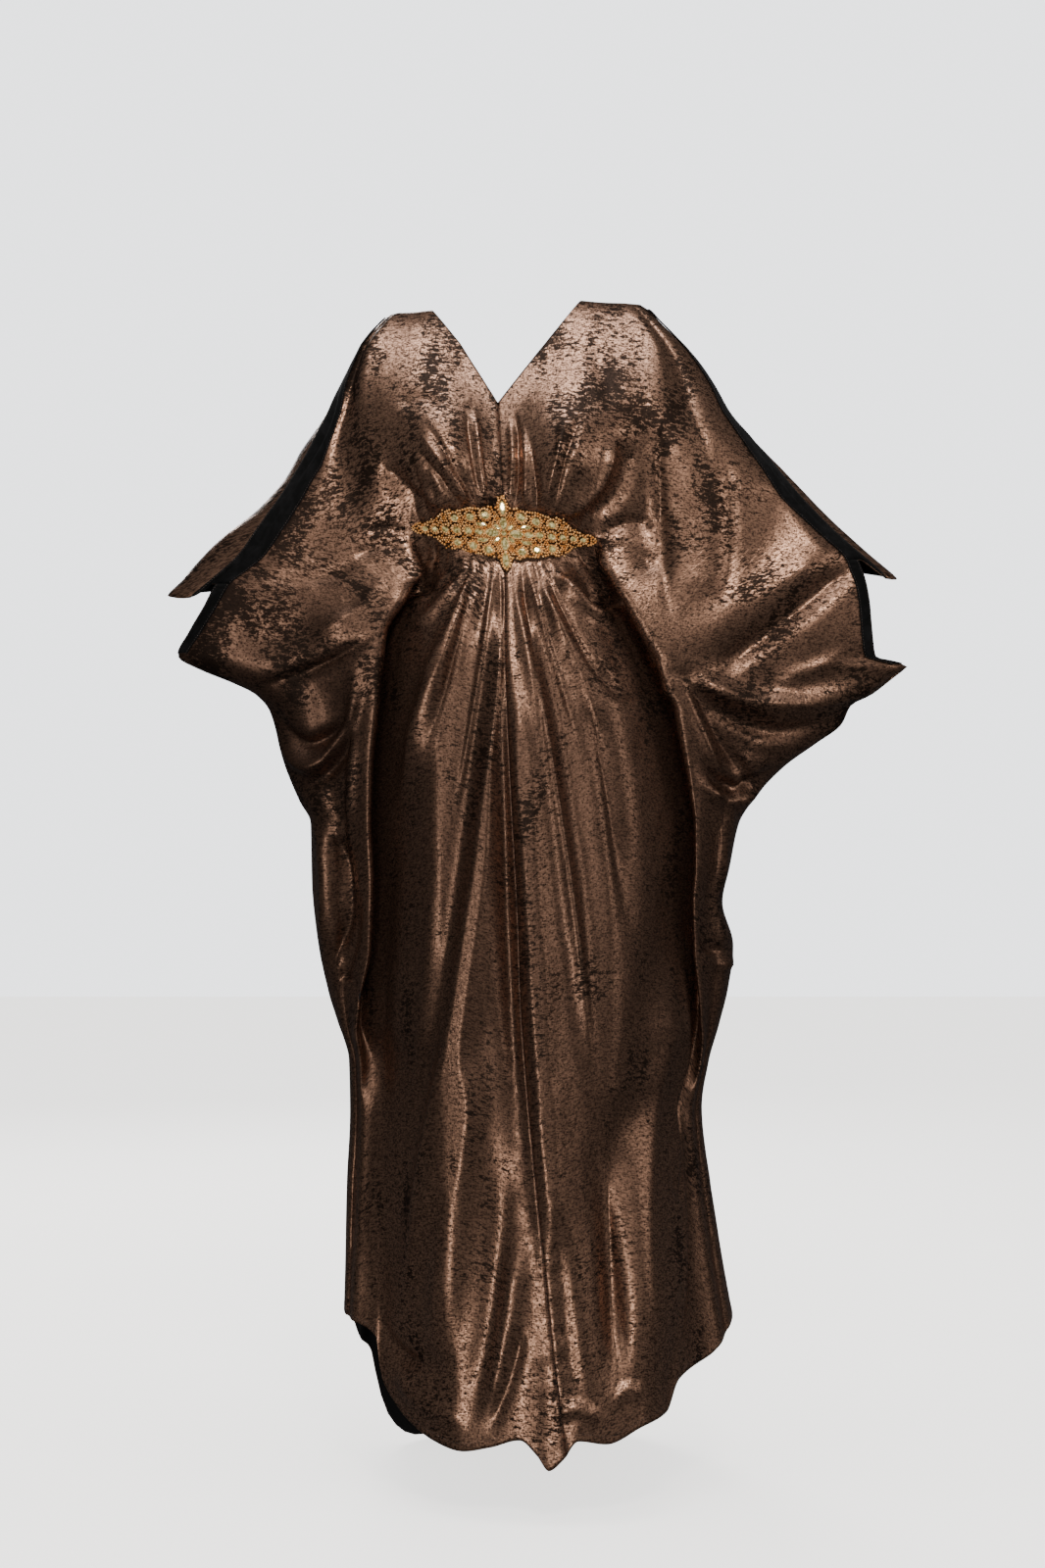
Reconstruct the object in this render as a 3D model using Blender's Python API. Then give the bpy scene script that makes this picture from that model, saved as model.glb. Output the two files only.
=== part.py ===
"""A floor-length kaftan with wing sleeves, gathered under the bust behind a jewelled applique.

The cloth is modelled as it hangs on a wearer who isn't there: two fronts with a centre seam, one
back, cut in one with the sleeves, a dark band over each overarm seam and along each front cuff,
and the applique. Right and left are the wearer's: the right side lies towards -X.

X runs to the wearer's left, Y to the back and Z up. The origin is the middle of the shoulder
line, where the wearer's shoulders carry the cloth. Tables are in millimetres, meshes in metres.
A drop is measured down from the origin, and a reach sideways from the plane X = 0.
"""

from collections import namedtuple

import bmesh
import bpy
import numpy as np

MM = 0.001
CLOTH = 1.6
BAND_CLOTH = 1.2
SEAM_GAP = 0.36
LIFT = 0.35
RIGHT, LEFT = -1, 1
SIDES = {"right": RIGHT, "left": LEFT}

# The neck: where each shoulder seam starts, how deep the front V and the back scoop go.
NECK_REACH = {RIGHT: 91, LEFT: 95}
NECK_DROP = {RIGHT: 12, LEFT: 0}
SHOULDER_SLOPE = 5
SHOULDER_FADE = 60
V_DROP = 139
V_REACH = -8
SCOOP_DROP = 124
SCOOP_POWER = 1.7

# The cuffs: the drop where each opening starts at its front edge, and where it closes again.
CUFF_TOP = {RIGHT: 358, LEFT: 328}
CUFF_FOOT = {RIGHT: 445, LEFT: 460}

# The applique under the bust: its centre, its outline and how thick its backing and mound are.
APPLIQUE_DROP = 299
APPLIQUE_TILT = 0.07
APPLIQUE_REACH = 112
APPLIQUE_HEIGHT = 40
APPLIQUE_BACKING = 1.8
APPLIQUE_MOUND = 2.4
AppliqueEdge = namedtuple("AppliqueEdge", "reach height")
APPLIQUE_EDGE = [
    AppliqueEdge(0, 47),
    AppliqueEdge(5, 42),
    AppliqueEdge(9, 29),
    AppliqueEdge(18, 31),
    AppliqueEdge(30, 27),
    AppliqueEdge(40, 27),
    AppliqueEdge(52, 23),
    AppliqueEdge(64, 23),
    AppliqueEdge(76, 17),
    AppliqueEdge(84, 9),
    AppliqueEdge(96, 8),
    AppliqueEdge(105, 6),
    AppliqueEdge(112, 1.5),
]
APPLIQUE_ROWS = 8

GATHERS_PER_SIDE = 8
GATHER_UP, GATHER_DOWN = 4.2, 4.6
GATHER_TOP, GATHER_FOOT = 120, 780
OVERARM_BAND = {RIGHT: 34, LEFT: 28}
BAND_COLUMNS = 2

# Rows of the cloth, as drops. From HEM_START on, rows are spread between that drop and the hem.
HEM_START = 1100
ROWS = (
    0, 3, 10, 25, 50, 78, 102, 124, 139, 160, 190, 215, 240, 262, 284, 305, 328, 343, 358, 382, 406,
    427, 445, 460, 475, 490, 508, 530, 555, 585, 620, 660, 705, 750, 800, 850, 895, 940, 1000, HEM_START,
)
HEM_SHARES = (0.3, 0.62, 0.86, 1.0)
HEM_NOMINAL = 1390

# Outline of each side: the fold beside the skirt, the front edge of the overarm seam and cuff,
# and the furthest reach of the cloth.
Outline = namedtuple("Outline", "drop fold seam reach")
OUTLINES = {
    RIGHT: [
        Outline(0, 115, 140, 140),
        Outline(10, 122, 148, 148),
        Outline(25, 131, 158, 158),
        Outline(50, 143, 170, 172),
        Outline(80, 152, 184, 187),
        Outline(115, 157, 198, 203),
        Outline(150, 156, 205, 221),
        Outline(190, 150, 221, 250),
        Outline(225, 140, 243, 269),
        Outline(260, 127, 263, 299),
        Outline(297, 112, 287, 343),
        Outline(326, 103, 308, 371),
        Outline(345, 102, 331, 386),
        Outline(358, 112, 348, 398),
        Outline(385, 133, 363, 402),
        Outline(415, 151, 381, 402),
        Outline(445, 155, 397, 397),
        Outline(460, 157, 371, 371),
        Outline(475, 159, 334, 334),
        Outline(490, 160, 304, 304),
        Outline(510, 162, 287, 287),
        Outline(575, 169, 270, 270),
        Outline(620, 171, 252, 252),
        Outline(648, 172, 238, 238),
        Outline(720, 169, 237, 237),
        Outline(800, 170, 229, 229),
        Outline(850, 176, 219, 219),
        Outline(890, 178, 207, 207),
        Outline(940, 168, 192, 192),
        Outline(1000, 165, 191, 191),
        Outline(1100, 168, 195, 195),
        Outline(1390, 171, 198, 198),
    ],
    LEFT: [
        Outline(0, 125, 168, 168),
        Outline(10, 135, 179, 180),
        Outline(25, 147, 191, 192),
        Outline(50, 159, 212, 214),
        Outline(80, 166, 236, 240),
        Outline(112, 168, 256, 260),
        Outline(145, 166, 272, 280),
        Outline(180, 160, 297, 309),
        Outline(215, 150, 323, 343),
        Outline(250, 138, 348, 376),
        Outline(285, 124, 382, 408),
        Outline(305, 113, 403, 431),
        Outline(328, 114, 428, 458),
        Outline(352, 133, 437, 470),
        Outline(382, 153, 442, 476),
        Outline(406, 167, 444, 482),
        Outline(427, 178, 446, 490),
        Outline(445, 187, 449, 480),
        Outline(460, 194, 476, 476),
        Outline(475, 199, 465, 465),
        Outline(490, 203, 449, 449),
        Outline(503, 207, 424, 424),
        Outline(527, 212, 412, 412),
        Outline(551, 217, 380, 380),
        Outline(578, 223, 343, 343),
        Outline(618, 230, 306, 306),
        Outline(648, 234, 288, 288),
        Outline(700, 235, 277, 277),
        Outline(745, 232, 268, 268),
        Outline(800, 232, 282, 282),
        Outline(850, 233, 276, 276),
        Outline(895, 232, 265, 265),
        Outline(940, 228, 252, 252),
        Outline(1000, 217, 243, 243),
        Outline(1100, 226, 255, 255),
        Outline(1390, 250, 281, 281),
    ],
}

# Depths of the same rows: front negative, back positive. The stations run from the centre front
# over the bust or skirt, the valley beside the skirt, the crest of the wing's fold, the wing and
# its edge, and back over the wing, the armhole and the shoulder blade to the centre back.
Depth = namedtuple(
    "Depth", "drop centre front valley crest wing edge back_wing back_side back_mid back_centre"
)
DEPTHS = [
    Depth(0, 0, 0, 0, 0, 0, 0, 0, 0, 0, 0),
    Depth(3, -13, -14, -13, -13, -11, 0, 11, 13, 14, 14),
    Depth(10, -24, -25, -24, -23, -20, -1, 20, 24, 26, 26),
    Depth(25, -38, -40, -38, -36, -31, -2, 30, 38, 42, 42),
    Depth(50, -54, -58, -55, -53, -44, -4, 38, 54, 60, 60),
    Depth(80, -70, -78, -73, -70, -55, -8, 42, 68, 78, 75),
    Depth(112, -86, -99, -90, -85, -65, -13, 42, 76, 92, 84),
    Depth(139, -98, -117, -102, -95, -72, -17, 40, 80, 99, 92),
    Depth(180, -117, -141, -114, -104, -81, -24, 35, 80, 104, 100),
    Depth(215, -127, -150, -117, -107, -87, -31, 30, 78, 104, 103),
    Depth(250, -127, -142, -112, -106, -92, -39, 22, 74, 100, 100),
    Depth(285, -118, -122, -104, -103, -96, -46, 14, 70, 95, 96),
    Depth(305, -115, -114, -98, -104, -98, -51, 10, 69, 93, 94),
    Depth(328, -116, -113, -88, -108, -100, -56, 4, 68, 92, 94),
    Depth(345, -119, -116, -82, -112, -102, -60, 0, 68, 93, 95),
    Depth(358, -123, -120, -78, -116, -103, -62, -3, 69, 95, 97),
    Depth(406, -137, -133, -72, -122, -104, -66, -10, 73, 103, 106),
    Depth(445, -147, -142, -70, -124, -102, -66, -12, 77, 110, 113),
    Depth(510, -157, -151, -68, -122, -97, -52, -2, 84, 119, 123),
    Depth(575, -166, -158, -66, -118, -91, -40, 12, 92, 128, 132),
    Depth(648, -176, -166, -64, -113, -84, -30, 25, 100, 136, 141),
    Depth(750, -189, -177, -62, -106, -76, -20, 38, 108, 145, 150),
    Depth(850, -202, -188, -62, -96, -66, -12, 50, 112, 155, 161),
    Depth(940, -214, -198, -74, -84, -60, -6, 52, 90, 152, 170),
    Depth(1000, -222, -205, -88, -80, -60, 0, 55, 80, 152, 178),
    Depth(1100, -237, -218, -100, -86, -66, 0, 60, 86, 166, 192),
    Depth(1390, -280, -256, -124, -106, -80, 5, 76, 106, 202, 232),
]

# The centre front seam and the hem's drop along X, front and back.
CentreLine = namedtuple("CentreLine", "drop x")
CENTRE = [
    CentreLine(139, -8),
    CentreLine(302, 0),
    CentreLine(500, 0),
    CentreLine(760, 14),
    CentreLine(1000, 24),
    CentreLine(1200, 38),
    CentreLine(1390, 48),
]
HemPoint = namedtuple("HemPoint", "x drop")
FRONT_HEM = [
    HemPoint(-198, 1244),
    HemPoint(-175, 1249),
    HemPoint(-152, 1264),
    HemPoint(-140, 1292),
    HemPoint(-118, 1334),
    HemPoint(-85, 1363),
    HemPoint(-50, 1371),
    HemPoint(-15, 1364),
    HemPoint(19, 1354),
    HemPoint(38, 1370),
    HemPoint(52, 1388),
    HemPoint(68, 1376),
    HemPoint(86, 1354),
    HemPoint(120, 1359),
    HemPoint(162, 1342),
    HemPoint(190, 1334),
    HemPoint(206, 1302),
    HemPoint(247, 1286),
    HemPoint(281, 1252),
]
BACK_HEM = [
    HemPoint(-198, 1244),
    HemPoint(-186, 1268),
    HemPoint(-172, 1306),
    HemPoint(-162, 1376),
    HemPoint(-144, 1424),
    HemPoint(-118, 1444),
    HemPoint(-60, 1448),
    HemPoint(40, 1450),
    HemPoint(140, 1436),
    HemPoint(215, 1372),
    HemPoint(258, 1300),
    HemPoint(281, 1252),
]

# How far the wing's crest lies beyond the valley. Below 0, the wing hangs over the skirt.
Tuck = namedtuple("Tuck", "drop step")
TUCKS = [
    Tuck(0, 14),
    Tuck(280, 14),
    Tuck(320, 4),
    Tuck(380, -10),
    Tuck(700, -11),
    Tuck(800, -9),
    Tuck(870, -2),
    Tuck(940, 4),
    Tuck(1040, 7),
    Tuck(1390, 9),
]

# Stations across a half front: 0 is the centre, FOLD_AT the valley, CREST_AT the wing's crest,
# WING_AT the middle of the wing and 1 the seam. The turns lie TURN inside the wall between them.
FOLD_AT, CREST_AT, WING_AT = 0.56, 0.67, 0.81
TURN = 0.034
FRONT_COLUMNS = ((16, FOLD_AT), (3, CREST_AT), (6, WING_AT), (6, 1.0))
# Stations across a half back, and the column that bounds the cuff's opening behind.
BACK_MID_AT, BACK_SIDE_AT, BACK_WING_AT = 0.28, 0.50, 0.62
BACK_COLUMNS = ((3, BACK_MID_AT), (2, BACK_SIDE_AT), (2, BACK_WING_AT), (6, 1.0))
CUFF_COLUMN = 8

# Large folds, as soft ridges (height above 0) and troughs, each along a curve through three
# points of the front or back seen square on. The lean makes one flank steeper than the other.
Fold = namedtuple("Fold", "x0 drop0 x1 drop1 x2 drop2 width height lean")
FRONT_FOLDS = [
    # Skirt, from the applique down.
    Fold(-16, 345, -40, 680, -108, 1340, 19, 20, 0.5),
    Fold(-54, 352, -92, 470, -130, 650, 17, 14, 0.5),
    Fold(-34, 370, -74, 700, -156, 1180, 22, -14, 0.0),
    Fold(-2, 480, 4, 760, 22, 1060, 13, -18, 0.0),
    Fold(10, 350, 40, 760, 66, 1375, 23, 20, -0.5),
    Fold(32, 350, 66, 700, 108, 1260, 17, -15, 0.4),
    Fold(40, 350, 90, 500, 112, 680, 16, 13, -0.4),
    Fold(64, 360, 116, 560, 146, 820, 22, -15, 0.0),
    Fold(72, 350, 130, 440, 184, 620, 17, 11, 0.4),
    Fold(-44, 1000, -66, 1180, -60, 1375, 24, 14, 0.0),
    Fold(-8, 1080, -16, 1220, -14, 1375, 20, -11, 0.0),
    Fold(-150, 900, -166, 1100, -150, 1290, 18, -10, 0.0),
    Fold(180, 820, 178, 1080, 174, 1340, 26, 22, 0.0),
    Fold(146, 980, 140, 1150, 128, 1355, 24, -14, 0.0),
    Fold(92, 1060, 98, 1200, 100, 1362, 18, 10, 0.0),
    # Bodice, from the applique up to the bust.
    Fold(-96, 268, -118, 240, -152, 214, 11, -7, 0.3),
    Fold(-68, 262, -92, 216, -104, 178, 11, -6, 0.2),
    Fold(70, 262, 104, 236, 150, 168, 10, 9, 0.5),
    Fold(86, 272, 122, 248, 158, 214, 12, -7, 0.2),
    # Wing on the wearer's right.
    Fold(-168, 424, -218, 458, -284, 484, 10, -9, 0.6),
    Fold(-262, 540, -222, 590, -176, 520, 15, -14, 0.2),
    Fold(-250, 520, -215, 552, -182, 500, 13, 7, 0.0),
    Fold(-178, 470, -184, 560, -186, 700, 9, 8, 0.0),
    Fold(-218, 690, -222, 760, -200, 800, 13, 8, 0.0),
    Fold(-228, 815, -200, 805, -180, 730, 12, -9, 0.3),
    Fold(-188, 60, -196, 180, -230, 300, 20, -7, 0.0),
    Fold(-330, 380, -270, 420, -200, 400, 18, -8, 0.0),
    # Wing on the wearer's left.
    Fold(400, 346, 300, 432, 196, 452, 20, -19, -0.5),
    Fold(206, 474, 330, 512, 486, 462, 17, 19, 0.5),
    Fold(236, 520, 330, 552, 418, 512, 19, -15, 0.0),
    Fold(225, 480, 248, 560, 292, 606, 16, -11, 0.0),
    Fold(256, 576, 296, 612, 330, 582, 12, -10, 0.0),
    Fold(246, 640, 262, 640, 284, 628, 10, -8, 0.0),
    Fold(238, 770, 258, 800, 282, 806, 9, 9, 0.4),
    Fold(240, 745, 256, 772, 270, 770, 9, -9, 0.0),
    Fold(214, 120, 222, 260, 222, 400, 26, 12, 0.0),
    Fold(182, 130, 178, 250, 176, 350, 20, -10, 0.0),
    Fold(300, 210, 300, 300, 262, 400, 24, -8, 0.0),
    Fold(250, 140, 285, 260, 320, 370, 22, 7, 0.0),
]
BACK_FOLDS = [
    Fold(-60, 130, -78, 420, -60, 900, 22, 9, 0.3),
    Fold(-104, 110, -140, 380, -120, 800, 22, -10, 0.0),
    Fold(66, 130, 84, 430, 104, 940, 22, 9, -0.3),
    Fold(110, 110, 158, 380, 168, 800, 22, -11, 0.0),
    Fold(4, 150, 8, 420, 20, 800, 20, -8, 0.0),
    Fold(-150, 60, -232, 260, -270, 470, 24, 9, 0.2),
    Fold(150, 60, 270, 270, 330, 480, 26, 9, -0.2),
    Fold(190, 160, 240, 420, 230, 700, 24, -10, 0.0),
    Fold(-180, 180, -190, 420, -180, 700, 22, -9, 0.0),
    Fold(-330, 400, -230, 470, -120, 420, 20, -9, 0.0),
    Fold(420, 400, 290, 500, 150, 430, 22, -11, 0.0),
    Fold(-110, 700, -120, 1000, -136, 1300, 26, 12, 0.0),
    Fold(-46, 700, -52, 1000, -60, 1340, 24, -11, 0.0),
    Fold(18, 760, 24, 1040, 30, 1350, 24, 12, 0.0),
    Fold(84, 700, 92, 1000, 104, 1340, 26, -11, 0.0),
    Fold(160, 700, 170, 1000, 182, 1300, 26, 12, 0.0),
]

# Corners of the cuffs that hang away from the rest: on which panel and row they lie, how far
# towards the seam they start, and how they move.
Corner = namedtuple("Corner", "side panel drop spread start out forward down")
CORNERS = [
    Corner(RIGHT, "back", 358, 34, 0.66, 26, 12, 28),
    Corner(LEFT, "back", 328, 34, 0.66, 38, 8, 38),
    Corner(LEFT, "front", 460, 12, 0.80, 14, 6, -3),
    Corner(LEFT, "back", 460, 34, 0.80, 14, 6, -3),
]


def through(keys, values, at, level_ends=False):
    """A smooth curve through the values at the keys, which never swings past them."""
    keys, values, at = (np.asarray(a, float) for a in (keys, values, at))
    step = np.diff(keys).reshape(-1, *[1] * (values.ndim - 1))
    rise = np.diff(values, axis=0) / step
    slope = np.zeros_like(values)
    before, after = rise[:-1], rise[1:]
    same_way = before * after > 0
    mean = 2 * before * after / np.where(same_way, before + after, 1)
    slope[1:-1] = np.where(same_way, mean, 0)
    if not level_ends:
        slope[0], slope[-1] = rise[0], rise[-1]
    i = np.clip(np.searchsorted(keys, at) - 1, 0, len(keys) - 2)
    t = (np.clip(at, keys[0], keys[-1]) - keys[i]) / (keys[i + 1] - keys[i])
    t = t.reshape(-1, *[1] * (values.ndim - 1))
    step = step[i]
    return (
        (1 + 2 * t) * (1 - t) ** 2 * values[i]
        + t * (1 - t) ** 2 * step * slope[i]
        + t**2 * (3 - 2 * t) * values[i + 1]
        - t**2 * (1 - t) * step * slope[i + 1]
    )


def ease(t):
    """Rises smoothly from 0 to 1 as t goes from 0 to 1."""
    t = np.clip(t, 0, 1)
    return t * t * (3 - 2 * t)


def column(rows, name, drops):
    """A table's column, read at these drops."""
    return through([r.drop for r in rows], [getattr(r, name) for r in rows], drops)


def row_drops():
    """The nominal drop of every row, and how far each lies on the way to the hem."""
    hem_rows = [HEM_START + (HEM_NOMINAL - HEM_START) * share for share in HEM_SHARES]
    share = [0.0] * len(ROWS) + list(HEM_SHARES)
    return np.array([*ROWS, *hem_rows], float), np.array(share)


def stations(counts):
    """Station values along a row, from (columns, end) pairs."""
    found, start = [0.0], 0.0
    for count, end in counts:
        found += [start + (end - start) * (i + 1) / count for i in range(count)]
        start = end
    return np.array(found)


def neck_reach(side, drops, shoulder, depth, power):
    """How far the neck edge lies from its foot, as a share, at these drops."""
    return shoulder * (1 - np.clip(drops / depth, 0, 1) ** power)


def heights(x, share, drops, at, side, hem):
    """Z of every point: the row's drop, the shoulder's slope near the top and the hem's shape."""
    drop = np.repeat(drops[:, None], x.shape[1], axis=1)
    tilt = NECK_DROP[side] + SHOULDER_SLOPE * at[None, :]
    drop = drop + tilt * np.clip(1 - drops / SHOULDER_FADE, 0, 1)[:, None]
    hem_drop = through([h.x for h in hem], [h.drop for h in hem], x.ravel()).reshape(x.shape)
    below = HEM_START + (hem_drop - HEM_START) * share[:, None]
    return -np.where(share[:, None] > 0, below, drop)


def band_width(side, drops):
    """Width of the overarm band at these drops."""
    return OVERARM_BAND[side] * (0.4 + 0.6 * ease((drops - 10) / 200))


def arc_columns(middle, round_x, edge_y, near_y, far_y, end, width, at, start):
    """Columns over the arm, from the wing's middle to the seam.

    The last BAND_COLUMNS columns before the seam share out half of the band's width, and the rest
    share out what is left. Beyond a quarter turn the arc's depth is far_y instead of near_y."""
    x, y = np.zeros((2, len(middle), len(at)))
    turn = np.linspace(0, 1, 90)
    inner = (at - start) / (1 - start) * len(at)
    for row in range(len(middle)):
        angle = turn * end[row]
        deep = near_y[row] if far_y is None else np.where(angle <= np.pi / 2, near_y[row], far_y[row])
        line_x = middle[row] + round_x[row] * np.sin(angle)
        line_y = edge_y[row] + deep * np.cos(angle)
        along = np.concatenate([[0], np.cumsum(np.hypot(np.diff(line_x), np.diff(line_y)))])
        half = min(width[row] / 2, 0.6 * along[-1])
        plain = len(at) - BAND_COLUMNS
        keys = [0, plain, len(at)]
        place = np.interp(inner, keys, [0, along[-1] - half, along[-1]])
        x[row], y[row] = np.interp(place, along, line_x), np.interp(place, along, line_y)
    return x, y


def half_front(side, at):
    """Points of a half front, rows by columns, with nothing but its large shape."""
    drops, share = row_drops()
    outline = {n: column(OUTLINES[side], n, drops) for n in ("fold", "seam", "reach")}
    depth = {n: column(DEPTHS, n, drops) for n in Depth._fields[1:7]}
    neck = V_REACH * side + neck_reach(side, drops, NECK_REACH[side] - V_REACH * side, V_DROP, 1)
    centre = np.where(drops < V_DROP, neck, column(CENTRE, "x", drops) * side)
    crest = outline["fold"] + column(TUCKS, "step", drops)
    middle = (np.maximum(crest, outline["fold"]) + outline["reach"]) / 2
    half = centre + (outline["fold"] - centre) * 0.48
    x_keys = np.array([centre, half, outline["fold"], crest, middle])
    x = through((0, FOLD_AT / 2, FOLD_AT + TURN, CREST_AT - TURN, WING_AT), x_keys, at).T
    y_keys = np.array([depth[n] for n in ("centre", "front", "valley", "crest", "wing")])
    y = through((0, FOLD_AT / 2, FOLD_AT, CREST_AT, WING_AT), y_keys, at, level_ends=True).T
    round_x = outline["reach"] - middle
    end = np.arcsin(np.clip((outline["seam"] - middle) / np.maximum(round_x, 1), -1, 1))
    past = at > WING_AT
    arc = (middle, round_x, depth["edge"], depth["wing"] - depth["edge"], None, end)
    x[:, past], y[:, past] = arc_columns(*arc, band_width(side, drops), at[past], WING_AT)
    z = heights(x * side, share, drops, at, side, FRONT_HEM)
    return np.stack([x * side, y, z], axis=-1)


def half_back(side, at):
    """Points of a half back, rows by columns, out to the seam, which may lie round in front."""
    drops, share = row_drops()
    outline = {n: column(OUTLINES[side], n, drops) for n in ("fold", "seam", "reach")}
    depth = {n: column(DEPTHS, n, drops) for n in Depth._fields[5:]}
    centre = column(CENTRE, "x", np.maximum(drops, HEM_START / 2)) * side
    centre = centre * np.clip(drops / HEM_START, 0, 1)
    scoop = neck_reach(side, drops, NECK_REACH[side], SCOOP_DROP, SCOOP_POWER)
    centre = np.where(drops < SCOOP_DROP, scoop, centre)
    middle = (outline["fold"] + outline["reach"]) / 2
    keys = (0, BACK_MID_AT, BACK_SIDE_AT, BACK_WING_AT)
    x_keys = np.array([centre, (centre + outline["fold"]) / 2, outline["fold"], middle])
    y_keys = np.array([depth[n] for n in ("back_centre", "back_mid", "back_side", "back_wing")])
    x = through(keys, x_keys, at).T
    y = through(keys, y_keys, at, level_ends=True).T
    round_x = outline["reach"] - middle
    front_end = np.arcsin(np.clip((outline["seam"] - middle) / np.maximum(round_x, 1), -1, 1))
    end = np.where(drops < CUFF_FOOT[side], np.pi - front_end, np.pi / 2)
    past = at > BACK_WING_AT
    edge = depth["edge"]
    arc = (middle, round_x, edge, depth["back_wing"] - edge, edge - depth["wing"], end)
    x[:, past], y[:, past] = arc_columns(*arc, band_width(side, drops), at[past], BACK_WING_AT)
    z = heights(x * side, share, drops, at, side, BACK_HEM)
    return np.stack([x * side, y, z], axis=-1)


def pull_corners(points, side, panel, at):
    """Moves the cuff corners of a half panel to where they hang."""
    drops, _ = row_drops()
    for corner in CORNERS:
        if (corner.side, corner.panel) != (side, panel):
            continue
        along = ease((at - corner.start) / (1 - corner.start))
        if panel == "back" and corner.drop == CUFF_TOP[side]:
            along = along * ease((0.95 - at) / 0.1)
        near = np.clip(1 - np.abs(drops - corner.drop) / corner.spread, 0, 1)
        near = np.where(drops > corner.drop, near**2, near)
        weight = (near[:, None] * along[None, :])[..., None]
        points = points + weight * np.array([side * corner.out, -corner.forward, -corner.down])
    return points


def fold_heights(x, z, folds):
    """How far the folds lift each point off the large shape."""
    total = np.zeros(x.size)
    place = np.stack([x.ravel(), z.ravel()], axis=-1)
    t = np.linspace(0, 1, 17)[:, None]
    for fold in folds:
        start, mid, end = (
            np.array(p, float)
            for p in ((fold.x0, -fold.drop0), (fold.x1, -fold.drop1), (fold.x2, -fold.drop2))
        )
        bend = 2 * mid - (start + end) / 2
        line = (1 - t) ** 2 * start + 2 * t * (1 - t) * bend + t**2 * end
        step = np.diff(line, axis=0)
        away = place[:, None, :] - line[None, :-1]
        share = np.clip((away * step).sum(axis=-1) / (step**2).sum(axis=-1), 0, 1)
        rest = away - share[..., None] * step
        distance = np.linalg.norm(rest, axis=-1)
        nearest = distance.argmin(axis=1)
        pick = np.arange(len(place)), nearest
        along = (nearest + share[pick]) / len(step)
        flank = np.sign(step[nearest, 0] * rest[pick][:, 1] - step[nearest, 1] * rest[pick][:, 0])
        width = fold.width * (1 + 0.5 * fold.lean * flank)
        taper = ease(np.minimum(along, 1 - along) / 0.3 + 0.1)
        total += fold.height * taper * np.exp(-((distance[pick] / width) ** 2))
    return total.reshape(x.shape)


def gather_heights(at, drops):
    """Column-wise gathers that run out of the applique, up over the bust and down the skirt."""
    up = GATHER_UP * ease((drops - GATHER_TOP) / 90)
    down = GATHER_DOWN * ease((GATHER_FOOT - drops) / 360)
    size = np.where(drops < APPLIQUE_DROP, up, down)[:, None]
    inner = ease((FOLD_AT - at) / 0.06) * ease(at / 0.04)
    uneven = 0.72 + 0.28 * np.cos(2 * np.pi * 2.3 * at / FOLD_AT + 0.7)
    wave = np.cos(2 * np.pi * GATHERS_PER_SIDE * at / FOLD_AT)
    return size * inner * uneven * wave


def normals_of(points, cuff=None):
    """Unit normals of a grid of points, taken apart above and below an open cuff."""
    across = np.gradient(points, axis=1)
    down = np.gradient(points, axis=0)
    if cuff:
        for part in (slice(0, cuff[0] + 1), slice(cuff[1], None)):
            down[part, CUFF_COLUMN:] = np.gradient(points[part, CUFF_COLUMN:], axis=0)
    normal = np.cross(across, down)
    length = np.linalg.norm(normal, axis=-1, keepdims=True)
    return normal / np.maximum(length, 1e-9)


def dressed(points, side, panel, at):
    """A half panel with its folds, and its outward normals."""
    drops, _ = row_drops()
    out = -side if panel == "front" else side
    rows = list(drops)
    cuff = (rows.index(CUFF_TOP[side]), rows.index(CUFF_FOOT[side])) if panel == "back" else None
    normal = normals_of(points, cuff) * out
    x, z = points[..., 0], points[..., 2]
    folds = FRONT_FOLDS if panel == "front" else BACK_FOLDS
    lift = fold_heights(x, z, folds)
    if panel == "front":
        lift += gather_heights(at, drops)
        lift *= ease((beside_applique(x, z) - 1) / 0.3)
        room = column(OUTLINES[side], "reach", drops) - column(OUTLINES[side], "fold", drops)
        wing = ease((at - FOLD_AT + 0.06) / 0.06)
        lift *= 1 - wing * (1 - np.clip(room / 80, 0, 1)[:, None])
        tucked = (ease((drops - 290) / 30) * ease((1040 - drops) / 60))[:, None]
        beside = np.maximum(np.abs(at - (FOLD_AT + CREST_AT) / 2) - 0.055, 0)
        lift *= 1 - tucked * ease(1 - beside / 0.13)
    shut = (drops < CUFF_TOP[side]) | (drops >= CUFF_FOOT[side])
    to_seam = ease((1 - at) / 0.16)[None, :]
    top = ease(drops / 60)[:, None]
    lift *= np.where(shut[:, None], to_seam, 1) * top
    points = points + lift[..., None] * normal
    points = pull_corners(points, side, panel, at)
    return points, normals_of(points, cuff) * out


def beside_applique(x, z):
    """How far out of the applique each point lies: below 1 it is behind it."""
    across = x / APPLIQUE_REACH
    down = (z + APPLIQUE_DROP + APPLIQUE_TILT * x) / APPLIQUE_HEIGHT
    return np.abs(across) ** 1.3 + np.abs(down) ** 1.3


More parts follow.
